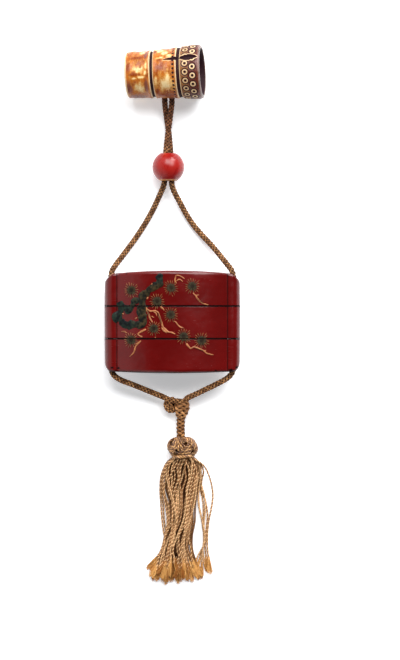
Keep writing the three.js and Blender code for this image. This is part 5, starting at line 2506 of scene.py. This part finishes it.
    def tips(self, lines: list[Array], random: np.random.Generator) -> tuple[list[Array], list[float]]:
        """The loosened fibres at the end of each string, and a tone for each.

        Args:
            lines: The strings' lines.
            random: Where the fibres' chances come from.

        Returns:
            A line and a tone for each fibre.
        """
        fibres, tones = [], []
        t = np.linspace(0, 1, 7)[:, None]
        for line in lines:
            start = line[-6]
            way = line[-1] - line[-14]
            way[2] = min(way[2], 0.0)
            way /= np.linalg.norm(way)
            side = np.cross(way, (0.0, 0.0, 1.0))
            half = random.uniform(0.6, 1.1)
            length = random.uniform(5.6, 8.6)
            bend = side * random.normal(0, 0.7) + np.array((0.0, 0.0, random.normal(0, 0.3)))
            tone = random.uniform(0, 1)
            for lie in np.linspace(-1, 1, self.fibres):
                reach = length * (1 - 0.16 * lie * lie + random.normal(0, 0.05))
                out = side * (lie * 0.3 + lie * half * t**1.4 + random.normal(0, 0.06))
                path = start + way * reach * t + out + bend * t**2
                path[:, 2] += random.normal(0, 0.16)
                path[:, 2] = np.maximum(path[:, 2], self.floor + random.uniform(0.0, 0.35))
                fibres.append(path)
                tones.append((tone * 0.6 + random.uniform(0, 0.4)) % 1)
        return fibres, tones

    def build(self) -> None:
        """Builds and dresses the tassel."""
        cord_yarn = Yarn(name="neck yarn", light=(0.46, 0.215, 0.070), dark=(0.16, 0.060, 0.019)).make()
        head_yarn = HeadYarn(
            roughness=0.32,
            specular=0.7,
            light=(0.80, 0.42, 0.155),
            dark=(0.17, 0.060, 0.015),
            gap=(0.045, 0.014, 0.003),
            deep=(0.6, 0.98),
            streak=0.8,
        ).make()
        silk = Yarn(
            name="string silk",
            light=(0.98, 0.60, 0.295),
            dark=(0.30, 0.125, 0.042),
            gap=(0.045, 0.014, 0.003),
            deep=(0.5, 0.92),
            soiling=0.25,
            streak=0.75,
            shade=(0.27, 0.20, 0.16),
        )
        frayed = Yarn(
            name="frayed silk",
            light=(1.0, 0.58, 0.19),
            dark=(0.40, 0.14, 0.026),
            deep=(-1.0, -0.5),
            soiling=0.1,
            streak=0.75,
            shade=(0.5, 0.36, 0.25),
        ).make()
        # a darker copy of the string silk for the lower half of the strings: painted shade
        under = Yarn(
            name="string silk beneath",
            light=(0.42, 0.20, 0.074),
            dark=(0.12, 0.044, 0.014),
            gap=(0.03, 0.010, 0.003),
            deep=(0.5, 0.95),
            soiling=0.4,
            shade=(0.4, 0.3, 0.25),
        )
        heart = Shadow(name="tassel heart", tone=(0.055, 0.020, 0.006)).make()
        dress(self.neck(cord_yarn, heart), Slot.SILK, "tassel_neck")
        dress(self.wraps(head_yarn, heart), Slot.SILK, "tassel_head")
        dress(self.core(heart), Slot.SILK)
        random = np.random.default_rng(self.seed)
        main, loose = self.main_lines(random), self.loose_lines(random)
        half = len(main) // 2
        over = silk.make()
        groups = {
            "strings_under": (main[:half], under.make()),
            "strings_over": (main[half:], over),
            "strings_loose": (loose, over),
        }
        for name, (lines, finish) in groups.items():
            tones = random.uniform(0, 1, len(lines)).tolist()
            piece = self.string.grow(self.recipe, f"tassel_{name}", lines, finish, tone=tones)
            dress(piece, Slot.SILK, *(("tassel_skirt",) if name == "strings_over" else ()))
        fibres, tones = self.tips([*main, *loose], random)
        thread = Lay(1, 0.0, 10.0, 0.0, 0.0, 0.13, 1.0, 4)
        taper = [np.linspace(1.2, 0.6, len(fibre)) for fibre in fibres]
        piece = thread.grow(self.recipe, "tassel_tips", fibres, frayed, girth=taper, tone=tones)
        dress(piece, Slot.SILK)


# ---------------------------------------------------------------- assembly


def write_sizes() -> None:
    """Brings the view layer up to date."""
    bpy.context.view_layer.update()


def main() -> None:
    """Builds every piece in order."""
    logging.basicConfig(level=logging.INFO, format="%(name)s %(message)s")
    Studio().build()
    recipe = LaidStrands()
    Cords(recipe).build()
    case = Case()
    case.build()
    Pine(case.shape).build()
    Bead().build()
    Toggle().build()
    Tassel(recipe).build()
    write_sizes()


if __name__ == "__main__":
    main()
